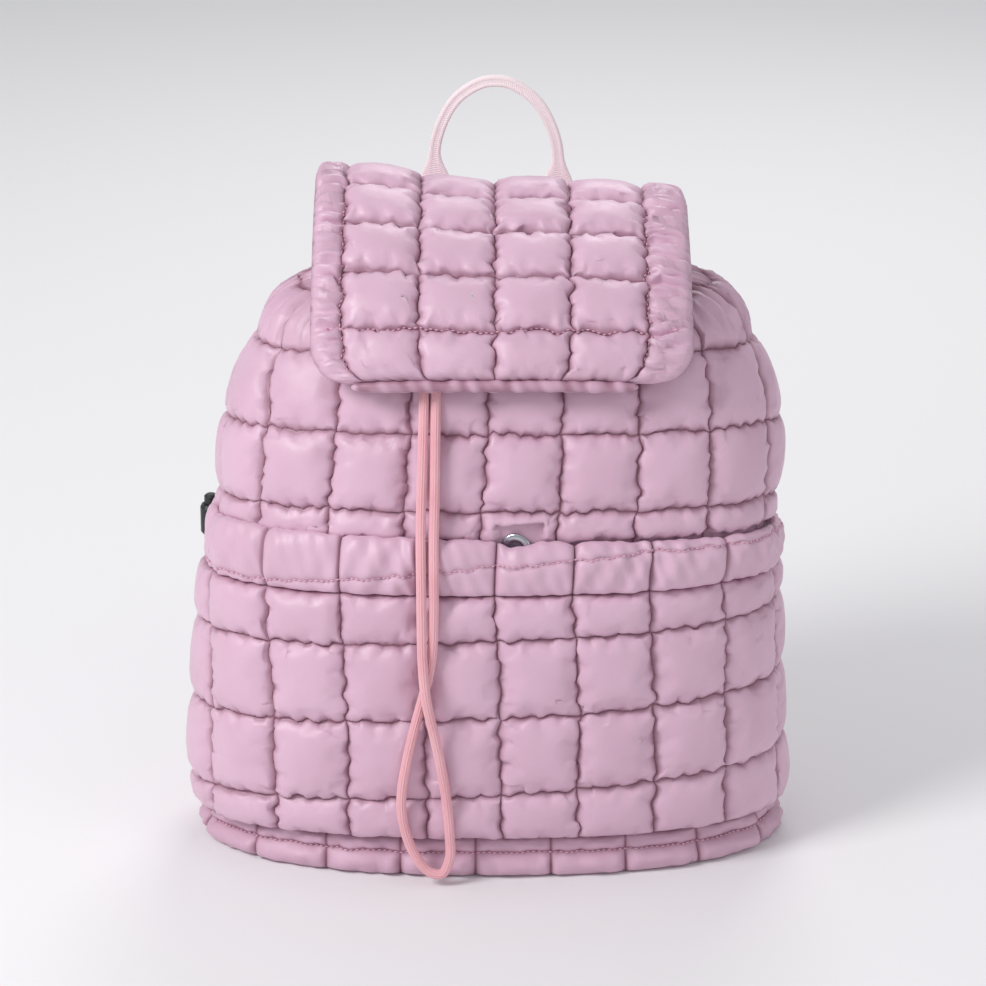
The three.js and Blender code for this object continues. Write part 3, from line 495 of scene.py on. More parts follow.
# The pocket, the locks and the snap press the wall flat behind them
snap_column, snap_reach = 0.51, 0.30
behind_snap = (shell_rows[:, None] < 0.63) & (np.abs(shell_columns[None, :] - snap_column) < snap_reach)
by_lock = shell_rows[:, None] > 0.44
pressed = ((shell_rows[:, None] < 0.60) & (shell_columns[None, :] > np.where(by_lock, -5.6, -5.0))
           & (shell_columns[None, :] < np.where(by_lock, 6.1, 5.8)))
pressed = pressed | behind_snap
pressed_in = -0.0008


gather_size = 0.0085  # the thread gathers the cloth in waves of about this length
width_of_painted_shade = 0.0011


def steep(distance, width):
    """A rounded wall: it rises at once from the seam and is level at its width."""
    return np.sqrt(1 - np.clip(1 - distance / np.maximum(width, 0.003), 0, 1) ** 2)


def to_seam(share, length):
    """How far the nearer seam is, in a cell of the given length."""
    return np.minimum(share, 1 - share) * length


def pillows(share_side, share_up, number_side, number_up, wide, high, across, along, seed,
            rise=0.0040, crown=0.0008, wall=0.008, scallop=0.5):
    """Height of the wadding in its squares: a steep wall by each seam, scalloped where the thread
    gathers it, and a low crown between."""
    half_side, half_up = np.floor(2 * (number_side + share_side)), np.floor(2 * (number_up + share_up))
    along_side = np.clip(crinkle(along, half_side * 0.37 + number_up * 0.2, gather_size, seed), -1.2, 1)
    along_up = np.clip(crinkle(across, half_up * 0.41 + number_side * 0.2, gather_size, seed + 1), -1.2, 1)
    walls = (steep(to_seam(share_side, wide), wall * (1 + scallop * along_side))
             * steep(to_seam(share_up, high), wall * (1 + scallop * along_up)))
    return rise * walls + crown * bulge(share_side) * bulge(share_up)


def wander(across, along, seed, amount=0.0014):
    """How far a sewn line strays, because the cloth is gathered by its thread."""
    return tuple(amount * crinkle(across, along, gather_size, number) for number in (seed, seed + 50))


row_lengths = shell_lengths[row_number][:, None]
height = swell * fullness[row_number][:, column_number] * pillows(
    share_side, share_up, column_number[None, :], row_number[:, None], cell, row_lengths, across, along, 11)
neck = np.clip((shell_rows[:, None] - 0.86) / 0.09, 0, 1)
rim_fade = np.clip((1.012 - shell_rows[:, None]) / 0.04, 0.2, 1)
pleat_depth, pleats_in_cell = 0.0018, 4
pleats = pleat_depth * neck * rim_fade * np.sin(
    across / cell * 2 * np.pi * pleats_in_cell + 1.5 * crinkle(across, along, 0.05, 5))
height = np.where(pressed, pressed_in, height + pleats)
stray_side, stray_up = wander(across, along, 21)
fade = np.clip(np.minimum(shell_rows - shell_rows[0], shell_rows[-1] - shell_rows) / 0.03, 0, 1)[:, None]
outer = on_body(shell_columns[None, :] + stray_side / cell * fade,
                shell_rows[:, None] + stray_up / body_height * fade, height)
on_seam_row = np.isin(np.arange(len(shell_rows)), shell_seams)[:, None]
on_seam_column = np.isin(np.arange(len(shell_columns)), shell_seam_columns)[None, :]
in_casing = shell_rows[:, None] > 0.96
pinned = on_seam_row | on_seam_column | pressed | in_casing
centre = np.array([0.005, 0.0, 0.17])
outer = swollen("shell_cloth", outer, pinned, centre, True)
inner_ups = np.interp(np.linspace(0, 1, 14), np.linspace(0, 1, len(seam_ups)), seam_ups)[::-1]
inner = on_body(shell_columns[None, :], inner_ups[:, None], -wall)
# Painted shade on the inner faces: inside the bag, behind the pocket and under the flap
inner_faces_painted_shade = 0.4
# Painted shade by the seams of the quilting
painted_shade = np.exp(-np.minimum(to_seam(share_side, cell), to_seam(share_up, row_lengths)) / width_of_painted_shade)
points = np.concatenate([outer, inner])
painted_shade = np.concatenate([painted_shade, np.full(inner.shape[:2], inner_faces_painted_shade)])
uv = np.stack(np.broadcast_arrays(
    across, np.concatenate([shell_rows, 2 - inner_ups])[:, None] * body_height), -1)
bag_body = new_piece("bag_body_quilting", points.reshape(-1, 3),
                     grid_faces(len(points), len(shell_columns), True, True).tolist(), uv, painted_shade)
mend(bag_body)
bag_body.data.materials.append(mauve_satin)
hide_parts("bag_shell")
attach(bag_body, "root")


def raised_lines(points, rows, columns, middle, lift, keep=None, closed=False):
    """The sewn lines of a quilted grid, lifted off its cloth, in the runs where they show."""
    if closed:
        points = np.concatenate([points, points[:, :1]], 1)
    normal = np.cross(np.gradient(points, axis=1), np.gradient(points, axis=0))
    normal /= np.maximum(np.linalg.norm(normal, axis=2), 1e-12)[..., None]
    normal *= np.sign(np.einsum("ijk,ijk->ij", normal, points - middle))[..., None]
    raised = points + normal * lift
    keep = np.ones(points.shape[:2], bool) if keep is None else np.broadcast_to(keep, points.shape[:2])
    lines = []
    for line, shown in [(raised[k], keep[k]) for k in rows] + [(raised[:, k], keep[:, k]) for k in columns]:
        breaks = np.flatnonzero(np.diff(shown.astype(int))) + 1
        lines += [run for run, on in zip(np.split(line, breaks), np.split(shown, breaks))
                  if on[0] and len(run) > 3]
    return lines


def stitch_tree(name):
    """Nodes that set a stitch at every pitch along the given lines, each a little different."""
    tree = bpy.data.node_groups.new(name, "GeometryNodeTree")
    face = tree.interface
    inputs = {}
    for label, kind in (("Lines", "Geometry"), ("Pitch", "Float"), ("Stitch length", "Float"),
                        ("Thickness", "Float"), ("Seed", "Int"), ("Thread", "Material")):
        inputs[label] = face.new_socket(label, in_out="INPUT", socket_type="NodeSocket" + kind).identifier
    face.new_socket("Stitches", in_out="OUTPUT", socket_type="NodeSocketGeometry")
    given = add(tree, "NodeGroupInput").outputs
    curve = add(tree, "GeometryNodeMeshToCurve", {"Mesh": given["Lines"]})
    spaced = add(tree, "GeometryNodeResampleCurve", {"Curve": curve.outputs[0]}, mode="LENGTH")
    tree.links.new(given["Pitch"], spaced.inputs["Length"])
    tangent = add(tree, "GeometryNodeInputTangent")
    turned_to = add(tree, "FunctionNodeAlignRotationToVector", {"Vector": tangent.outputs[0]}, axis="Z")
    bead = add(tree, "GeometryNodeMeshUVSphere", {"Segments": 6, "Rings": 4, "Radius": 0.5})
    size = add(tree, "ShaderNodeCombineXYZ", {
        0: given["Thickness"], 1: given["Thickness"], 2: given["Stitch length"]})
    vary = add(tree, "FunctionNodeRandomValue", {
        "Min": (0.85, 0.85, 0.8), "Max": (1.15, 1.15, 1.1), "Seed": given["Seed"]}, data_type="FLOAT_VECTOR")
    scaled = add(tree, "ShaderNodeVectorMath", {0: size.outputs[0], 1: vary.outputs[0]}, operation="MULTIPLY")
    placed = add(tree, "GeometryNodeInstanceOnPoints", {
        "Points": spaced.outputs[0], "Instance": bead.outputs[0], "Rotation": turned_to.outputs[0],
        "Scale": scaled.outputs[0]})
    real = add(tree, "GeometryNodeRealizeInstances", {"Geometry": placed.outputs[0]})
    smooth = add(tree, "GeometryNodeSetShadeSmooth", {"Geometry": real.outputs[0]})
    dyed = add(tree, "GeometryNodeSetMaterial", {"Geometry": smooth.outputs[0], "Material": given["Thread"]})
    add(tree, "NodeGroupOutput", {0: dyed.outputs[0]})
    return tree, inputs


stitch_nodes, stitch_inputs = stitch_tree("stitches_along_lines")


def sewn(name, lines, pitch, length, thick, thread, seed=1):
    """Stitches along lines, as one piece that rides with the bag."""
    starts = np.concatenate([[0], np.cumsum([len(line) for line in lines])])
    edges = [(k, k + 1) for a, b in zip(starts, starts[1:]) for k in range(a, b - 1)]
    path = bpy.data.meshes.new(name + "_lines")
    path.from_pydata(np.vstack(lines).tolist(), edges, [])
    carrier = bpy.data.objects.new(name + "_lines", path)
    scene.collection.objects.link(carrier)
    work = carrier.modifiers.new("stitches", "NODES")
    work.node_group = stitch_nodes
    for label, value in (("Pitch", pitch), ("Stitch length", length), ("Thickness", thick),
                         ("Seed", seed), ("Thread", thread)):
        work[stitch_inputs[label]] = value
    made = bpy.data.meshes.new_from_object(carrier.evaluated_get(bpy.context.evaluated_depsgraph_get()))
    bpy.data.objects.remove(carrier)
    piece = bpy.data.objects.new(name, made)
    scene.collection.objects.link(piece)
    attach(piece, "root")
    return piece


def spun_thread(name, light, dark):
    """Twisted polyester thread: uneven in tone, with a fine slanted ply."""
    material, tree, shader = new_material(name, 0.6, Sheen_Weight=0.3, Sheen_Roughness=0.5)
    tree.links.new(blend_colours(tree, noise(tree, 260.0), light, dark), shader.inputs["Base Color"])
    where = add(tree, "ShaderNodeTexCoord").outputs["Object"]
    ply = add(tree, "ShaderNodeTexWave", {"Vector": where, "Scale": 900.0, "Distortion": 1.5},
              wave_type="BANDS", bands_direction="DIAGONAL")
    tree.links.new(bump(tree, ply.outputs[1], 0.4, 0.00012), shader.inputs["Normal"])
    return material


rose_thread = spun_thread("rose_thread", colour(240, 192, 212), colour(204, 138, 164))
# The quilting thread is darker than the topstitch thread: painted shade of the seams it lies in
quilting_thread_painted_shade = spun_thread("quilting_thread_painted_shade", colour(176, 116, 136), colour(120, 70, 90))
quilting = (0.0031, 0.0023, 0.00055)  # a quilting stitch's pitch, length and thickness
quilting_lift = 0.0004
shown = ~pressed & ~in_casing
sewn("body_quilting_thread",
     raised_lines(outer, shell_seams[1:-2], shell_seam_columns[:-1], centre, quilting_lift,
                  np.concatenate([shown, shown[:, :1]], 1), True),
     *quilting, quilting_thread_painted_shade, 2)

# Base. A padded panel of the same satin, sewn to the wall along the base seam and
# topstitched round the middle of its edge, with a flat underside.
base_pad, base_spread, base_swell = 0.009, 0.004, 0.005
base_columns, base_seam_columns = stations(
    np.arange(-columns / 2, columns / 2 + 1), cell / 16, [cell] * columns)
base_share = share_between(base_columns, base_seam_columns)[0][:-1]
base_columns = base_columns[:-1]
# Round the edge from the top: out as a share of the spread, the share of the swell, and high as
# a share of the seam's height
edge_steps = np.array([
    [-2.0, 0.00, 1.00], [0.10, 0.00, 1.00], [0.50, 0.10, 0.95], [0.72, 0.22, 0.87], [0.80, 0.30, 0.79],
    [0.78, 0.28, 0.71], [0.70, 0.18, 0.655], [0.64, 0.10, 0.62], [0.74, 0.24, 0.585], [0.92, 0.55, 0.52],
    [1.05, 0.85, 0.44], [1.10, 1.00, 0.35], [1.06, 1.00, 0.26], [0.95, 0.92, 0.17], [0.75, 0.80, 0.09],
    [0.4, 0.62, 0.035], [-0.4, 0.5, 0.01], [-1.75, 0.5, 0.0]])
stitched_step = 7  # the narrow step, where the topstitch lies
run = base_columns * cell
seam_distance = to_seam(base_share, cell)
base_rows = []
for number, (out, swell_share, high) in enumerate(edge_steps):
    pucker = crinkle(run, number * 0.0018, gather_size, 31) * 0.0011 * (1.0 if 1 < number < 15 else 0.0)
    sag = crinkle(run, number * 0.001, 0.03, 33) * 0.0012 * (1.0 if 2 < number < 14 else 0.0)
    puffed = swell_share * base_swell * (0.15 + 0.85 * steep(seam_distance, 0.010)) * 0.9
    row = on_body(base_columns, seam_ups[0], out * base_spread + puffed + pucker + sag)
    row[:, 2] = np.maximum((row[:, 2] - 0.0003) * high, 0)
    base_rows.append(row)


def shrunk(ring, share):
    """A ring drawn in to its middle."""
    middle = ring[:, :2].mean(0)
    return np.column_stack([middle + (ring[:, :2] - middle) * share, ring[:, 2]])


underside = [shrunk(base_rows[-1], share) for share in (0.9, 0.7, 0.45, 0.2, 0.02)]
topside = [shrunk(base_rows[0], share) for share in (0.02, 0.3, 0.6, 0.85)]
for ring in topside:
    ring[:, 2] = base_pad
points = np.array(topside + base_rows + underside)
run = np.linspace(0, 0.2, len(points))[:, None]
uv = np.stack(np.broadcast_arrays(base_columns[None, :] * cell, run), -1)
# Painted shade in the creases of the rounded edge, along the topstitch's groove and by the seams
edge_lines_painted_shade = np.zeros(len(points))
for step, strength in ((1, 0.9), (2, 0.4), (stitched_step - 1, 0.3), (stitched_step, 0.9),
                       (stitched_step + 1, 0.3)):
    edge_lines_painted_shade[len(topside) + step] = strength
painted_shade = np.maximum(np.exp(-seam_distance[None, :] / width_of_painted_shade), edge_lines_painted_shade[:, None])


def closed_tube(name, points, uv, painted_shade, smooth=True):
    """A piece of closed rings of points, with a flat cap at each end."""
    rings, count = points.shape[:2]
    faces = grid_faces(rings, count, False, True).tolist()
    faces += [list(range(count)), list(range((rings - 1) * count, rings * count))[::-1]]
    piece = new_piece(name, points.reshape(-1, 3), faces, uv, painted_shade, smooth)
    mend(piece)
    return piece


base = closed_tube("base_padding", points, uv, painted_shade)
# A darker copy of the satin with painted shade, for the pieces that lie in shade: the base, the binding and
# the straps
shaded_satin_copy = satin_nylon("mauve_satin_painted_shade", colour(212, 173, 194), colour(124, 62, 84))
base.data.materials.append(shaded_satin_copy)
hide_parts("base_panel")
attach(base, "root")
groove_row = base_rows[stitched_step]
groove_row = groove_row + (groove_row - groove_row.mean(0)) * [0.006, 0.011, 0]
sewn("base_topstitch", [np.vstack([groove_row, groove_row[:1]])], 0.0033, 0.0022, 0.0009, rose_thread, 7)

# Front pocket. One quilted sheet of the same satin round the front and the sides, sewn along
# the base seam and under the band, with seams that line up with the bag's behind it.
pocket_left, pocket_right = -5.0, 5.25
pocket_clear, pocket_thick = 0.0018, 0.005
# From the base seam to the mouth: up, skew, shift
pocket_table = np.array([
    [0.075, 0.000, 0.16], [0.160, 0.036, 0.20], [0.297, 0.031, 0.19],
    [0.432, 0.025, 0.12], [0.511, 0.004, 0.05], [0.604, -0.014, 0.02]])


def on_pocket(column, row, out):
    """Points that stand off the body at a column and a row of the pocket, counted from the base seam."""
    rows = np.arange(len(pocket_table))
    up, skew, shift = (np.interp(row, rows, pocket_table[:, k]) for k in range(3))
    from_middle = (2 * column - pocket_left - pocket_right) / (pocket_right - pocket_left)
    return on_body(column, up + skew * from_middle, out, shift * cell)


pocket_lengths = np.diff(pocket_table[:5, 0]) * body_height
pocket_rows, pocket_seams = stations(np.arange(5.0), 0.0019, pocket_lengths)
pocket_stops = np.concatenate([np.arange(-5, 6), [pocket_right]])
pocket_columns, pocket_seam_columns = stations(pocket_stops, cell / 24, np.diff(pocket_stops) * cell)
row_share, row_number = share_between(pocket_rows, pocket_seams)
column_share, column_number = share_between(pocket_columns, pocket_seam_columns)
share_up, share_side = row_share[:, None], (pocket_columns - np.floor(pocket_columns + 1e-6))[None, :]
ups = np.interp(pocket_rows, np.arange(6), pocket_table[:, 0])
across, along = pocket_columns[None, :] * cell, ups[:, None] * body_height
row_lengths = pocket_lengths[row_number][:, None]
fullness = np.random.default_rng(8).uniform(0.75, 1.2, (5, 12))
height = fullness[row_number][:, column_number] * pillows(
    share_side, share_up, column_number[None, :], row_number[:, None], cell, row_lengths, across, along, 41,
    rise=0.0038)
stray_side, stray_up = wander(across, along, 61)
columns_in = np.minimum(pocket_columns - pocket_left, pocket_right - pocket_columns)[None, :]
rows_in = np.minimum(pocket_rows, 4 - pocket_rows)[:, None]
fade = np.clip(rows_in / 0.3, 0, 1) * np.clip(columns_in / 0.3, 0, 1)
from_side = columns_in * cell
low_row, middle_row, high_row = 0.029, 0.045, 0.027  # heights of the pocket's rows of cells
from_end = np.minimum(pocket_rows * low_row, (4 - pocket_rows) * high_row + 0.001)[:, None]
rolled = steep(np.minimum(from_side, from_end * 1.5), 0.004)
edge_clear, edge_thick = 0.0002, 0.0006
clear = edge_clear + (pocket_clear - edge_clear) * np.clip(from_side / 0.008, 0, 1)
base_out = clear + edge_thick + (pocket_thick - edge_thick) * rolled
outer = on_pocket(pocket_columns[None, :] + stray_side / cell * fade,
                  pocket_rows[:, None] + stray_up / middle_row * fade, base_out + height * rolled)
on_seam_row = np.isin(np.arange(len(pocket_rows)), pocket_seams)[:, None]
on_seam_column = np.isin(np.arange(len(pocket_columns)), pocket_seam_columns)[None, :]
outer = swollen("pocket_cloth", outer, on_seam_row | on_seam_column, centre)
inner_rows = np.linspace(4, 0, 12)
inner = on_pocket(pocket_columns[None, :], inner_rows[:, None], clear)
# Painted shade by the seams of the pocket's quilting, and on its inner face
painted_shade = np.exp(-np.minimum(to_seam(share_side, cell), to_seam(share_up, row_lengths)) / width_of_painted_shade)
painted_shade = np.concatenate([painted_shade, np.full(inner.shape[:2], inner_faces_painted_shade)])
points = np.concatenate([outer, inner])
uv = np.stack(np.broadcast_arrays(
    across, np.concatenate([along, 0.4 - inner_rows[:, None] * 0.04])), -1)


def closed_sheet(name, points, uv, painted_shade):
    """A sheet whose rows go up its face and down its back, closed at its two sides."""
    rows, wide = points.shape[:2]
    faces = grid_faces(rows, wide, True, False).tolist()
    faces.append([k * wide for k in range(rows)])
    faces.append([k * wide + wide - 1 for k in range(rows)][::-1])
    piece = new_piece(name, points.reshape(-1, 3), faces, uv, painted_shade)
    mend(piece)
    return piece


pocket = closed_sheet("front_pocket_quilting", points, uv, painted_shade)
pocket.data.materials.append(mauve_satin)
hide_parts("front_pocket")
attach(pocket, "root")
sewn("pocket_quilting_thread",
     raised_lines(outer, pocket_seams[1:-1], pocket_seam_columns[1:-1], centre, quilting_lift),
     *quilting, quilting_thread_painted_shade, 3)

# Pocket band. The pocket's mouth is a wide hem of the same cloth, rolled over wadding and
# elastic, gathered along its length and topstitched once.
band_clear, band_thick, band_puff = 0.0034, 0.008, 0.0025
# Its section: up as a share of its height, and out as a share of its thickness
band_section = np.array([
    [0.00, 0.00], [0.02, 0.50], [0.17, 0.86], [0.46, 1.05], [0.76, 0.92], [0.94, 0.55], [0.99, 0.20],
    [0.94, 0.00]])
band_line, _ = catmull(np.column_stack([band_section, np.zeros(len(band_section))]), 1 / 24)
band_columns, _ = stations(pocket_stops, cell / 30, np.diff(pocket_stops) * cell)
share_side = (band_columns - np.floor(band_columns + 1e-6))[None, :]
run = band_columns[None, :] * cell
up, out = band_line[:, 0][:, None], band_line[:, 1][:, None]
gather = crinkle(run + up * 0.010, up * 0.004, 0.0075, 71) * 0.0011
gather = gather + crinkle(run - up * 0.012, up * 0.012, 0.019, 73) * 0.0014
level_of_stitch = np.interp(band_columns, [-5, -3, -2, -0.2, 1, 2, 3, 5.2],
                            [0.10, 0.12, 0.24, 0.54, 0.68, 0.82, 0.86, 0.88])[None, :]
stray = 0.03 * crinkle(run, 0 * run, 0.007, 75)
seam_distance = to_seam(share_side, cell)
puffs = band_puff * (0.6 * steep(seam_distance, 0.008) + 0.4 * bulge(share_side))
band_height = 0.027
off_stitch = np.abs(up - level_of_stitch - stray) * band_height
groove = (1 - steep(off_stitch, 0.004)) * 0.0021 * (out > 0.3)
nip = (1 - steep(seam_distance, 0.0045)) * 0.0024
from_side = np.minimum(band_columns - pocket_left, pocket_right - band_columns)[None, :] * cell
snap_at, taper_run = 0.27, 0.085
# The band is thinner toward its two ends, and dips in front of the snap
ends = 0.38 + 0.62 * np.sin(np.clip(from_side / taper_run, 0, 1) * np.pi / 2)
thick = ends * (band_thick * out + (puffs + gather - groove - nip) * np.clip(out * 2, 0, 1))
mouth_dip = 0.93 + 0.07 * steep(seam_distance, 0.010) + 0.022 * crinkle(run, 0 * run, 0.008, 77)
mouth_dip = mouth_dip - 0.10 * np.exp(-((band_columns[None, :] - snap_at) / 0.22) ** 4)
points = on_pocket(np.broadcast_to(band_columns[None, :], thick.shape),
                   4 + up * mouth_dip, band_clear + np.maximum(thick, 0))
# Painted shade along the topstitch's groove and by the seams
painted_shade = np.maximum(np.exp(-off_stitch / 0.0009) * 0.4, np.exp(-seam_distance / 0.0009) * 0.9)
uv = np.stack(np.broadcast_arrays(run, np.linspace(0, 0.05, len(band_line))[:, None]), -1)
band = closed_sheet("pocket_band_roll", points, uv, painted_shade)
band.data.materials.append(mauve_satin)
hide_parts("pocket_band")
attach(band, "root")
front_rows = np.argmax(band_line[:, 0])
at_level = (level_of_stitch + stray)[0]
off_cloth = np.array([np.interp(level, up[:front_rows, 0] * dip, thick[:front_rows, k])
                      for k, (level, dip) in enumerate(zip(at_level, mouth_dip[0]))])
stitch_line = on_pocket(band_columns, 4 + at_level, band_clear + off_cloth + 0.0005)
sewn("band_topstitch", [stitch_line[6:-6]], 0.0033, 0.0021, 0.0011, rose_thread, 4)

# Flap. A quilted sheet over the mouth, four columns of squares between two finely gathered side
# bands, with a rolled binding under its lower edge.
flap_cell, flap_columns = 0.043, 4
flap_band_left, flap_band_right = 0.018, 0.026
flap_aside = 0.003
flap_half = flap_columns * flap_cell / 2
flap_thick, flap_puff = 0.006, 0.006
flap_droop, flap_corner, flap_radius = 0.008, 0.030, 0.022
# The flap's inner face from its root at the back to its lower edge: back as a share of
# body_depth, and up as a share of body_height
flap_line = np.array([
    [0.490, 0.930], [0.503, 0.985], [0.475, 1.042], [0.385, 1.072], [0.220, 1.074],
    [0.018, 1.048], [-0.162, 1.003], [-0.315, 0.942], [-0.398, 0.880], [-0.408, 0.871]])
flap_path, _ = catmull(np.column_stack([
    np.zeros(len(flap_line)), flap_line[:, 0] * body_depth, flap_line[:, 1] * body_height]), 0.001)
flap_run = np.concatenate([[0], np.cumsum(np.linalg.norm(np.diff(flap_path, axis=0), axis=1))])
flap_length = flap_run[-1]


def on_flap(aside, down, out):
    """Points of the flap: aside from the middle of its columns, down from its root, and out."""
    aside, down, out = np.broadcast_arrays(*[np.asarray(v, float) for v in (aside, down, out)])
    share = np.clip(down / flap_length, 0, 1)
    y, z = (np.interp(share * flap_length, flap_run, flap_path[:, k]) for k in (1, 2))
    reach = np.gradient(flap_path, flap_run, axis=0)
    along_y, along_z = (np.interp(share * flap_length, flap_run, reach[:, k]) for k in (1, 2))
    size = np.hypot(along_y, along_z)
    along_y, along_z = along_y / size, along_z / size
    past = down - share * flap_length
    left = np.where(aside < 0, -aside / (flap_half + flap_band_left), 0)
    edge = np.abs(aside) / (flap_half + np.where(aside < 0, flap_band_left, flap_band_right))
    rise = np.sin(np.pi * np.minimum(share * 2, 1) / 2) * (1 - share)
    lift = out - flap_droop * edge ** 3 * share ** 0.3
    return np.stack([flap_aside + aside, y + along_y * past + along_z * lift,
                     z + along_z * past - along_y * lift + flap_corner * left ** 1.5 * rise], -1)


def narrowed(aside, down):
    """The flap's sides drawn in toward its lower edge, which makes its corners round."""
    near = np.maximum(flap_radius - (flap_length - down), 0)
    reach_in = flap_radius - np.sqrt(np.maximum(flap_radius ** 2 - near ** 2, 0))
    return aside * (1 - reach_in / (flap_half + flap_band_right))


flap_stops = np.concatenate([[0], np.arange(flap_length - 0.197, flap_length - 0.026, 0.034),
                             [flap_length]])
flap_downs, flap_seams = stations(flap_stops, 0.0018, np.diff(flap_stops))
band_sides = [-flap_half - flap_band_left, *np.arange(-2, 3) * flap_cell, flap_half + flap_band_right]
flap_asides, flap_seam_sides = stations(band_sides, 0.0018, np.diff(band_sides))
row_share, row_number = share_between(flap_downs, flap_seams)
column_share, column_number = share_between(flap_asides, flap_seam_sides)
share_up, share_side = row_share[:, None], column_share[None, :]
down, aside = flap_downs[:, None], flap_asides[None, :]
in_band = (aside < -flap_half) | (aside > flap_half)
row_lengths = np.diff(flap_stops)[row_number][:, None]
column_widths = np.diff(band_sides)[column_number][None, :]
fullness = np.random.default_rng(15).uniform(0.8, 1.15, (len(flap_stops), 6))
height = fullness[row_number][:, column_number] * pillows(
    share_side, share_up, column_number[None, :], row_number[:, None], column_widths, row_lengths,
    aside, down, 81, rise=0.0044, crown=0.0018)
from_edge = np.minimum(np.minimum(flap_length - down, down),
                       np.minimum(aside + flap_half + flap_band_left, flap_half + flap_band_right - aside))
seam_side = to_seam(share_side, column_widths)
gather_depth, gather_pitch = 0.0032, 0.0074
gathers = 0.0034 * steep(seam_side, 0.008) + gather_depth * np.sin(
    down / gather_pitch * 2 * np.pi + 2.2 * crinkle(aside, down, 0.03, 83)) * np.clip(
    bulge(share_side) + 0.35, 0, 1) * np.sqrt(np.clip(from_edge / 0.011, 0, 1))
height = np.where(in_band, gathers, height)
# The haul loop's two feet press the wadding down
feet_middle, feet_apart, foot_reach = 0.001, 0.0365, 0.013
under_foot = ((np.abs(np.abs(aside - feet_middle) - feet_apart) < foot_reach)
              & (down > 0.012) & (down < 0.050))
height = np.where(under_foot, np.minimum(height, 0.0022), height)
rolled = steep(from_edge, 0.005)
stray_side, stray_up = wander(aside, down, 91)
fade = np.clip(from_edge / 0.01, 0, 1)
edge_thick = 0.0008
outer = on_flap(narrowed(aside, down) + stray_side * fade, down + stray_up * fade,
                edge_thick + (flap_thick - edge_thick) * rolled + height * rolled)
on_seam_row = np.isin(np.arange(len(flap_downs)), flap_seams)[:, None] & ~in_band
on_seam_column = np.isin(np.arange(len(flap_asides)), flap_seam_sides)[None, :]
on_edge = (np.arange(len(flap_downs)) % (len(flap_downs) - 1) == 0)[:, None]
pinned = on_seam_row | on_seam_column | on_edge | under_foot
flap_centre = np.array([0.003, 0.0, 0.2])
outer = swollen("flap_cloth", outer, pinned, flap_centre)
inner_downs = np.linspace(flap_length, 0, 40)
inner = on_flap(narrowed(aside, inner_downs[:, None]), inner_downs[:, None], 0.0)
points = np.concatenate([outer, inner])
# Painted shade by the flap's seams and on its inner face
seam_level = np.where(in_band, 0.02, to_seam(share_up, row_lengths))
painted_shade = np.concatenate([np.exp(-np.minimum(seam_side, seam_level) / width_of_painted_shade),
                       np.full(inner.shape[:2], inner_faces_painted_shade)])
uv = np.stack(np.broadcast_arrays(aside, np.concatenate([down, 0.5 - inner_downs[:, None]])), -1)
flap = closed_sheet("flap_quilting", points, uv, painted_shade)
flap.data.materials.append(mauve_satin)
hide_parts("flap")
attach(flap, "root")
quilted = np.broadcast_to(~in_band | on_seam_column, outer.shape[:2])
sewn("flap_quilting_thread",
     raised_lines(outer, flap_seams[1:-2], flap_seam_sides[2:-2], flap_centre, quilting_lift, quilted),
     *quilting, quilting_thread_painted_shade, 5)
sewn("flap_topstitch",
     raised_lines(outer, [flap_seams[-2]], [flap_seam_sides[1], flap_seam_sides[-2]], flap_centre, 0.0013,
                  (down > 0.004) & (from_edge > 0.007)),
     0.0032, 0.0021, 0.0010, rose_thread, 6)

# Binding. A narrow strip of the same satin rolled over the flap's lower edge and gathered
# by its own seam.
binding_height, binding_thick = 0.0068, 0.0072
binding_down = flap_length + binding_height / 2 - 0.0009
binding_asides = np.linspace(-flap_half + flap_radius / 4, flap_half - flap_radius / 4, 210)
centre_line = on_flap(binding_asides, binding_down, flap_thick / 2)
below = on_flap(binding_asides, binding_down + 0.001, flap_thick / 2) - centre_line
forward = on_flap(binding_asides, binding_down, flap_thick) - centre_line
below /= np.linalg.norm(below, axis=1)[:, None]
forward /= np.linalg.norm(forward, axis=1)[:, None]
turn = np.linspace(0, 2 * np.pi, 21)[:-1, None]
full = 0.95 + 0.13 * crinkle(binding_asides[None, :] + turn * 0.0009, turn * 0.001, gather_size, 95)
ends = np.sqrt(np.clip(1 - (np.abs(binding_asides) / np.abs(binding_asides[0])) ** 14, 0.02, 1))[None, :]
points = (centre_line[None] + (np.cos(turn) * full * ends * binding_height / 2)[..., None] * below[None]
          + (np.sin(turn) * full * ends * binding_thick / 2)[..., None] * forward[None])
uv = np.stack(np.broadcast_arrays(binding_asides[None, :], turn * 0.003), -1)
# Painted shade where the gathers draw the binding in
painted_shade = np.clip(np.clip(1.1 - full, 0, 1) * 3, 0, 0.7)
binding = closed_sheet("flap_binding_roll", points, uv, painted_shade)
binding.data.materials.append(shaded_satin_copy)
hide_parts("flap_binding")
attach(binding, "root")

# Haul loop. Pale twill webbing: its two feet lie flat and flared on the flap, sewn down, and
# between them it is folded lengthwise and stands up in an arch.
loop_span, loop_aside, loop_rise = 0.073, 0.004, 0.066
foot_down, foot_wide, foot_long, foot_thick = 0.040, 0.020, 0.022, 0.0018
grip_wide, grip_thick = 0.0070, 0.0044
arch_wide, arch_round = 1.04, 0.8
proud = flap_thick + flap_puff * 0.6 + 0.0005


def squared(wave, power):
    """A sine or cosine with fuller corners."""
    return np.sign(wave) * np.abs(wave) ** power


def foot(sign):
    aside = loop_aside + sign * loop_span / 2 - flap_aside
    top = on_flap(aside, foot_down, proud)
    top[1] = max(top[1], on_flap(aside, foot_down - foot_long / 2, proud)[1])
    return top - np.array([0, 0, foot_long]), top


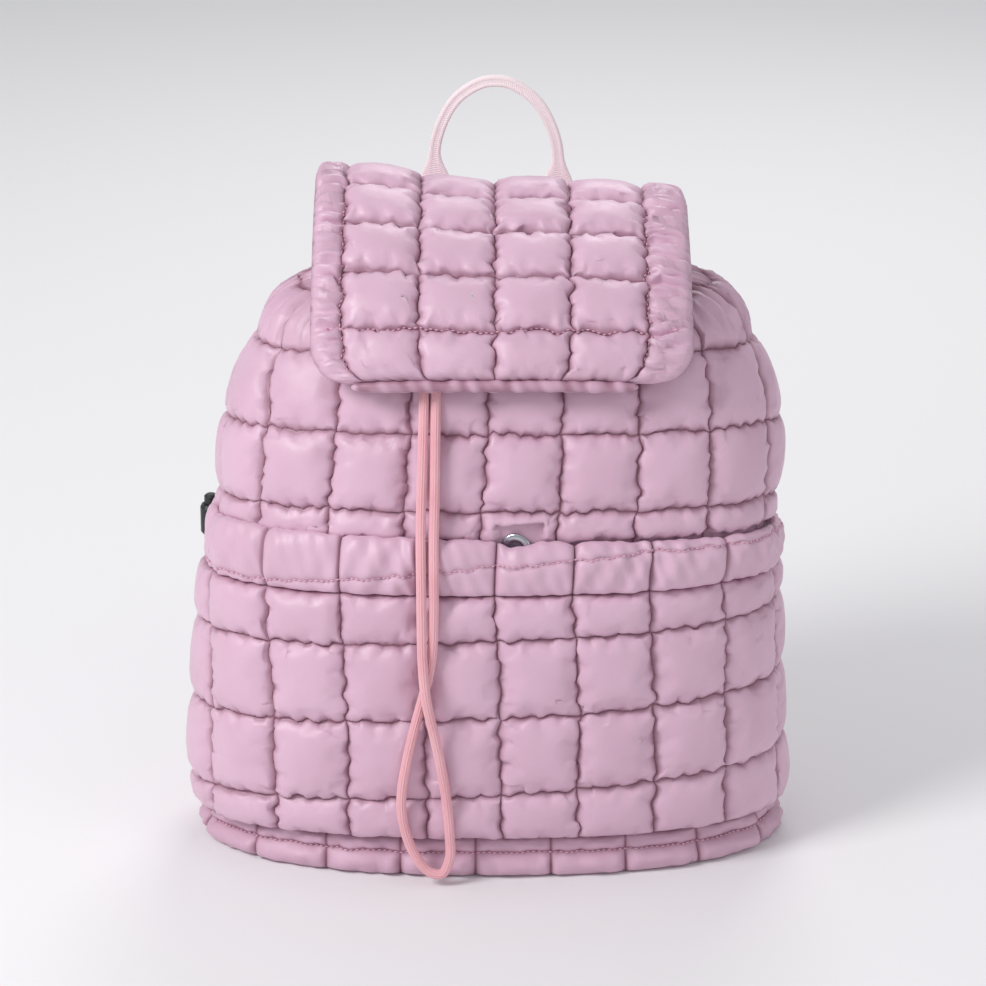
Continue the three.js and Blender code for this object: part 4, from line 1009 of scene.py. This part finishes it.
left_foot, left_top = foot(-1)
right_foot, right_top = foot(1)
arch = []
for share in (0.12, 0.28, 0.42, 0.5, 0.58, 0.72, 0.88):
    angle = math.pi * (1 - share)
    place = (left_top + right_top) / 2
    place[0] += math.cos(angle) * loop_span / 2 * arch_wide
    place[1] -= math.sin(angle) * foot_thick
    place[2] = left_top[2] + (right_top[2] - left_top[2]) * share + loop_rise * math.sin(angle) ** arch_round
    arch.append(place)
line, ways = catmull([left_foot, left_top, *arch, right_top, right_foot], 0.0012)
run = np.concatenate([[0], np.cumsum(np.linalg.norm(np.diff(line, axis=0), axis=1))])
from_end = np.minimum(run, run[-1] - run)
folded = np.clip((from_end - foot_long) / foot_long, 0, 1)
folded = folded * folded * (3 - 2 * folded)
turn = np.linspace(0, 2 * np.pi, 25)[:-1]
rings = []
for place, way, share in zip(line, ways, folded):
    side = np.cross(way, (0, 1, 0))
    side /= np.linalg.norm(side)
    width = foot_wide + (grip_wide - foot_wide) * share
    thick = foot_thick + (grip_thick - foot_thick) * share
    wide = squared(np.cos(turn), 0.7) * width / 2
    deep = squared(np.sin(turn), 0.7) * thick / 2
    crease = -0.0011 * share * np.exp(-(wide / 0.0012) ** 2) * (np.sin(turn) < 0)
    rings.append(place + np.array([0, thick / 2, 0]) + np.outer(wide, side)
                 + np.outer(deep - crease, (0, 1, 0)))
points = np.array(rings)
uv = np.stack(np.broadcast_arrays(np.abs(turn - np.pi)[None, :] * 0.006, run[:, None]), -1)
haul_loop = closed_tube("haul_loop_webbing", points, uv, np.zeros(points.shape[:2]))


def twill(name, light, dark, pitch):
    """Twill webbing: fine slanted ribs of yarn, in slightly mottled pale thread, with painted shade in the
    grooves between the ribs.
    """
    material, tree, shader = new_material(name, 0.85, Sheen_Weight=0.3, Sheen_Roughness=0.6)
    at_side, at_run = cloth_places(tree)
    across = maths(tree, "MULTIPLY", at_side, 0.25)
    slant = maths(tree, "MULTIPLY", maths(tree, "ADD", across, at_run), 2 * math.pi / pitch)
    yarn = maths(tree, "MULTIPLY", at_side, 2 * math.pi / pitch / 1.5)
    ribs = maths(tree, "MULTIPLY_ADD", maths(tree, "SINE", slant), 0.5, 0.5)
    cuts = maths(tree, "MULTIPLY_ADD", maths(tree, "SINE", yarn), 0.2, 0.2)
    mottle = between(tree, noise(tree, 1100.0, 4.0), 0.40, 0.70, 0.0, 0.45)
    # Painted shade: the grooves between the ribs take up to 0.35 of the dark colour
    low = maths(tree, "MULTIPLY", maths(tree, "SUBTRACT", 1.0, ribs), 0.35)
    tree.links.new(blend_colours(tree, maths(tree, "MAXIMUM", mottle, low), light, dark),
                   shader.inputs["Base Color"])
    tree.links.new(bump(tree, maths(tree, "SUBTRACT", ribs, cuts), 0.6, 0.0003), shader.inputs["Normal"])
    return material


pale_twill = twill("pale_twill", colour(255, 243, 245), colour(230, 192, 194), 0.0013)
haul_loop.data.materials.append(pale_twill)
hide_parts("haul_loop")
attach(haul_loop, "root")
pale_thread = spun_thread("pale_thread", colour(246, 226, 222), colour(214, 184, 182))
box_corners = np.array([(-1, 0.2), (1, 0.2), (1, 0.9), (-1, 0.9), (-1, 0.2), (1, 0.9)])
boxes = []
for low_end in (left_foot, right_foot):
    corners = low_end + np.column_stack([
        box_corners[:, 0] * foot_wide * 0.4, np.full(len(box_corners), foot_thick + 0.0002),
        box_corners[:, 1] * foot_long])
    boxes.append(np.vstack([np.linspace(a, b, 9) for a, b in zip(corners, corners[1:])]))
sewn("loop_foot_stitches", boxes, 0.0024, 0.0018, 0.0006, pale_thread, 8)


# Rings and snap. Two plain plated rings pressed into the neck casing, where the drawcord comes
# out, and a plated magnetic snap inside the pocket's mouth.
def turned(name, profile, sides, place, axis):
    """A turned piece on an axis: profile of radius and height, from the axis out and back."""
    turn = np.linspace(0, 2 * np.pi, sides, endpoint=False)
    axis = np.asarray(axis, float) / np.linalg.norm(axis)
    side = np.cross(axis, (0, 0, 1) if abs(axis[2]) < 0.9 else (1, 0, 0))
    side /= np.linalg.norm(side)
    other = np.cross(axis, side)
    points = np.array([[place + axis * h + r * (side * math.cos(a) + other * math.sin(a)) for a in turn]
                       for r, h in profile])
    closed = profile[0] == profile[-1]
    rings = points[:-1] if closed else points
    faces = grid_faces(len(rings), sides, closed, True).tolist()
    piece = new_piece(name, rings.reshape(-1, 3), faces)
    mend(piece, join=1e-7)
    return piece


def plated(name, tint):
    """Bright nickel plating with fine rubbed marks."""
    material, tree, shader = new_material(name, 0.22, Metallic=1.0)
    tree.links.new(between(tree, noise(tree, 700.0, 3.0), 0.0, 1.0, 0.14, 0.34), shader.inputs["Roughness"])
    tree.links.new(blend_colours(tree, noise(tree, 120.0), tint, colour(168, 170, 178)),
                   shader.inputs["Base Color"])
    return material


nickel = plated("bright_nickel", colour(205, 206, 212))
eyelet_profile = [(r * mm, h * mm) for r, h in (
    (3.5, 0.0), (6.5, 0.0), (6.5, 0.5), (6.2, 0.95), (5.7, 1.25), (5.0, 1.4), (4.3, 1.25),
    (3.8, 0.95), (3.5, 0.5), (3.5, 0.0))]
ring_axis = np.array([0.0, -0.41, 0.912])
for side in ("left", "right"):
    low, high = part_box(f"cord_eyelet_{side}")
    middle = np.array((low + high) / 2)
    ring = turned(f"cord_ring_{side}", eyelet_profile, 40, middle - ring_axis * 0.0007, ring_axis)
    ring.data.materials.append(nickel)
    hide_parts(f"cord_eyelet_{side}")
    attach(ring, "root")

snap_profile = [(r * mm, h * mm) for r, h in (
    (0, 0), (8.6, 0.0), (9.0, 0.4), (9.0, 1.3), (8.7, 1.8), (8.1, 2.0), (5.6, 2.0), (5.0, 1.7),
    (4.6, 1.2), (0, 1.2))]
low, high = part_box("pocket_snap")
snap_axis = np.array([-0.2375, -0.965, 0.108])
snap_middle = np.array((low + high) / 2)
snap_back = snap_axis / np.linalg.norm(snap_axis) * 0.001
snap = turned("magnetic_snap", snap_profile, 48, snap_middle - snap_back, snap_axis)
snap.data.materials.append(nickel)
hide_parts("pocket_snap")
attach(snap, "root")


# Cord locks. Small moulded barrels on the side cords, each with a spring button on top,
# in matt black plastic with a light grain.
def moulded(name, tint, grain):
    """Moulded plastic with a fine spark-eroded grain."""
    material, tree, shader = new_material(name, 0.42, Specular_IOR_Level=0.5)
    speck = noise(tree, grain, 4.0)
    tree.links.new(bump(tree, speck, 0.3, 0.0001), shader.inputs["Normal"])
    tree.links.new(blend_colours(tree, noise(tree, 90.0), tint, colour(38, 37, 40)),
                   shader.inputs["Base Color"])
    tree.links.new(between(tree, speck, 0.0, 1.0, 0.3, 0.52), shader.inputs["Roughness"])
    return material


black_plastic = moulded("black_plastic", colour(22, 22, 25), 1500.0)
for side in ("left", "right"):
    for node in (f"cord_lock_barrel_{side}", f"cord_lock_button_{side}", f"strap_slider_{side}"):
        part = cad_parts[node]
        part.data.materials.clear()
        part.data.materials.append(black_plastic)

# Shoulder straps. Plain padded straps of the same satin with bound edges, sewn in under the flap,
# each let out by a plain slider on a length of pale webbing that is sewn in by the base.
# Down each middle line: column from the middle of the back, up, and mm off the back panel
strap_table = np.array([
    [1.30, 0.948, 9.5], [1.30, 0.870, 12], [1.36, 0.770, 28], [1.48, 0.640, 37],
    [1.68, 0.510, 35], [1.88, 0.400, 26]])
webbing_table = np.array([
    [1.98, 0.345, 22], [2.16, 0.250, 15.5], [2.30, 0.150, 11], [2.34, 0.110, 8], [2.36, 0.081, 3.0]])
strap_wide, strap_thick = 0.052, 0.010
tape_wide, tape_thick = 0.025, 0.002
slider_high, strap_clear = 0.022, 0.0005
bound_at = 0.80  # where the bound edges' stitches lie, as a share of the half width
pad_step, tape_step = 0.0025, 0.0016


def back_line(table, sign):
    return on_body(sign * (columns / 2 - table[:, 0]) - column_shift / cell, table[:, 1], table[:, 2] * mm)


def strap_rings(line, ways, outline):
    """Rings of a strap along a line, its face turned to the back panel."""
    side = np.cross(ways, (0, 1, 0))
    side /= np.linalg.norm(side, axis=1)[:, None]
    face = np.cross(side, ways)
    return (line[:, None] + outline[None, :, :1] * side[:, None]
            + outline[None, :, 1:] * face[:, None])


for side, sign in (("left", -1), ("right", 1)):
    pad = back_line(strap_table, sign)
    pad[0, 2] = flap_line[0, 1] * body_height - 0.001
    pad[0, 0] = pad[1, 0]
    line, ways = catmull(pad, pad_step)
    turn = np.linspace(0, 2 * np.pi, 49)[:-1]
    wide, deep = squared(np.cos(turn), 0.55), squared(np.sin(turn), 0.8)
    groove = np.exp(-((np.abs(wide) - bound_at) / 0.035) ** 2)
    outline = np.stack([wide * strap_wide / 2, deep * (1 - 0.35 * groove) * strap_thick / 2 * 0.95], 1)
    points = strap_rings(line, ways, outline)
    run = np.arange(len(line)) * pad_step
    ripple = crinkle(run[:, None], wide[None, :] * 0.026, 0.016, 101 + sign) * 0.0005
    points[..., 1] += ripple * deep[None, :]
    uv = np.stack(np.broadcast_arrays(wide[None, :] * 0.03, run[:, None]), -1)
    # Painted shade along the groove of each bound edge
    strap = closed_tube(f"shoulder_strap_pad_{side}", points, uv,
                        np.broadcast_to(groove[None, :] * 0.8, points.shape[:2]))
    strap.data.materials.append(shaded_satin_copy)
    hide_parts(f"shoulder_strap_{side}")
    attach(strap, "root")
    lines = [points[2:-2, k] + [0, 0.0007, 0] for k in np.argsort(np.abs(np.abs(wide) - bound_at))[:4]
             if (points[:, k] - line)[:, 1].mean() > 0]
    sewn(f"strap_edge_stitches_{side}", lines, 0.0036, 0.0026, 0.0009, rose_thread, 9)

    along = pad[-1] - pad[-2]
    along /= np.linalg.norm(along)
    start = pad[-1] + along * (slider_high + 3 * strap_clear)
    line, ways = catmull(np.vstack([start, back_line(webbing_table, sign)[1:]]), tape_step)
    outline = np.array([[-1, -0.6], [-1, 0.6], [-0.96, 1], [0.96, 1], [1, 0.6], [1, -0.6], [0.96, -1],
                        [-0.96, -1]]) * [tape_wide / 2, tape_thick / 2]
    points = strap_rings(line, ways, outline)
    run = np.arange(len(line)) * tape_step
    uv = np.stack(np.broadcast_arrays(outline[None, :, 0], run[:, None]), -1)
    tape = closed_tube(f"strap_tape_{side}", points, uv, np.zeros(points.shape[:2]), smooth=False)
    tape.data.materials.append(pale_twill)
    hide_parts(f"strap_webbing_{side}")
    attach(tape, "root")

# Studio. A plain pale floor and one large soft light from the upper left, with a weaker fill.
floor = new_piece("studio_floor", [(-6, -6, 0), (6, -6, 0), (6, 6, 0), (-6, 6, 0)], [[0, 1, 2, 3]])
paper, tree, shader = new_material("pale_paper", 0.9)
shader.inputs["Base Color"].default_value = colour(238, 237, 238)
floor.data.materials.append(paper)


def soft_light(name, place, aim_at, size, power, tint=(1, 1, 1)):
    lamp = bpy.data.objects.new(name, bpy.data.lights.new(name, "AREA"))
    lamp.data.shape = "DISK"
    lamp.data.size = size
    lamp.data.energy = power
    lamp.data.color = tint
    lamp.location = place
    lamp.rotation_euler = (Vector(aim_at) - Vector(place)).to_track_quat("-Z", "Y").to_euler()
    scene.collection.objects.link(lamp)


soft_light("key", (-1.5, -1.1, 1.7), (0, 0, 0.15), 0.9, 34)
soft_light("fill", (1.6, -1.2, 0.9), (0, 0, 0.2), 1.2, 4)
soft_light("back", (0.3, 1.6, 1.6), (0, 0, 0.2), 1.0, 12)
world = bpy.data.worlds.new("studio")
world.use_nodes = True
world.node_tree.nodes["Background"].inputs["Color"].default_value = (0.95, 0.96, 1.0, 1)
world.node_tree.nodes["Background"].inputs["Strength"].default_value = 0.52
scene.world = world
scene.view_settings.view_transform = "Standard"
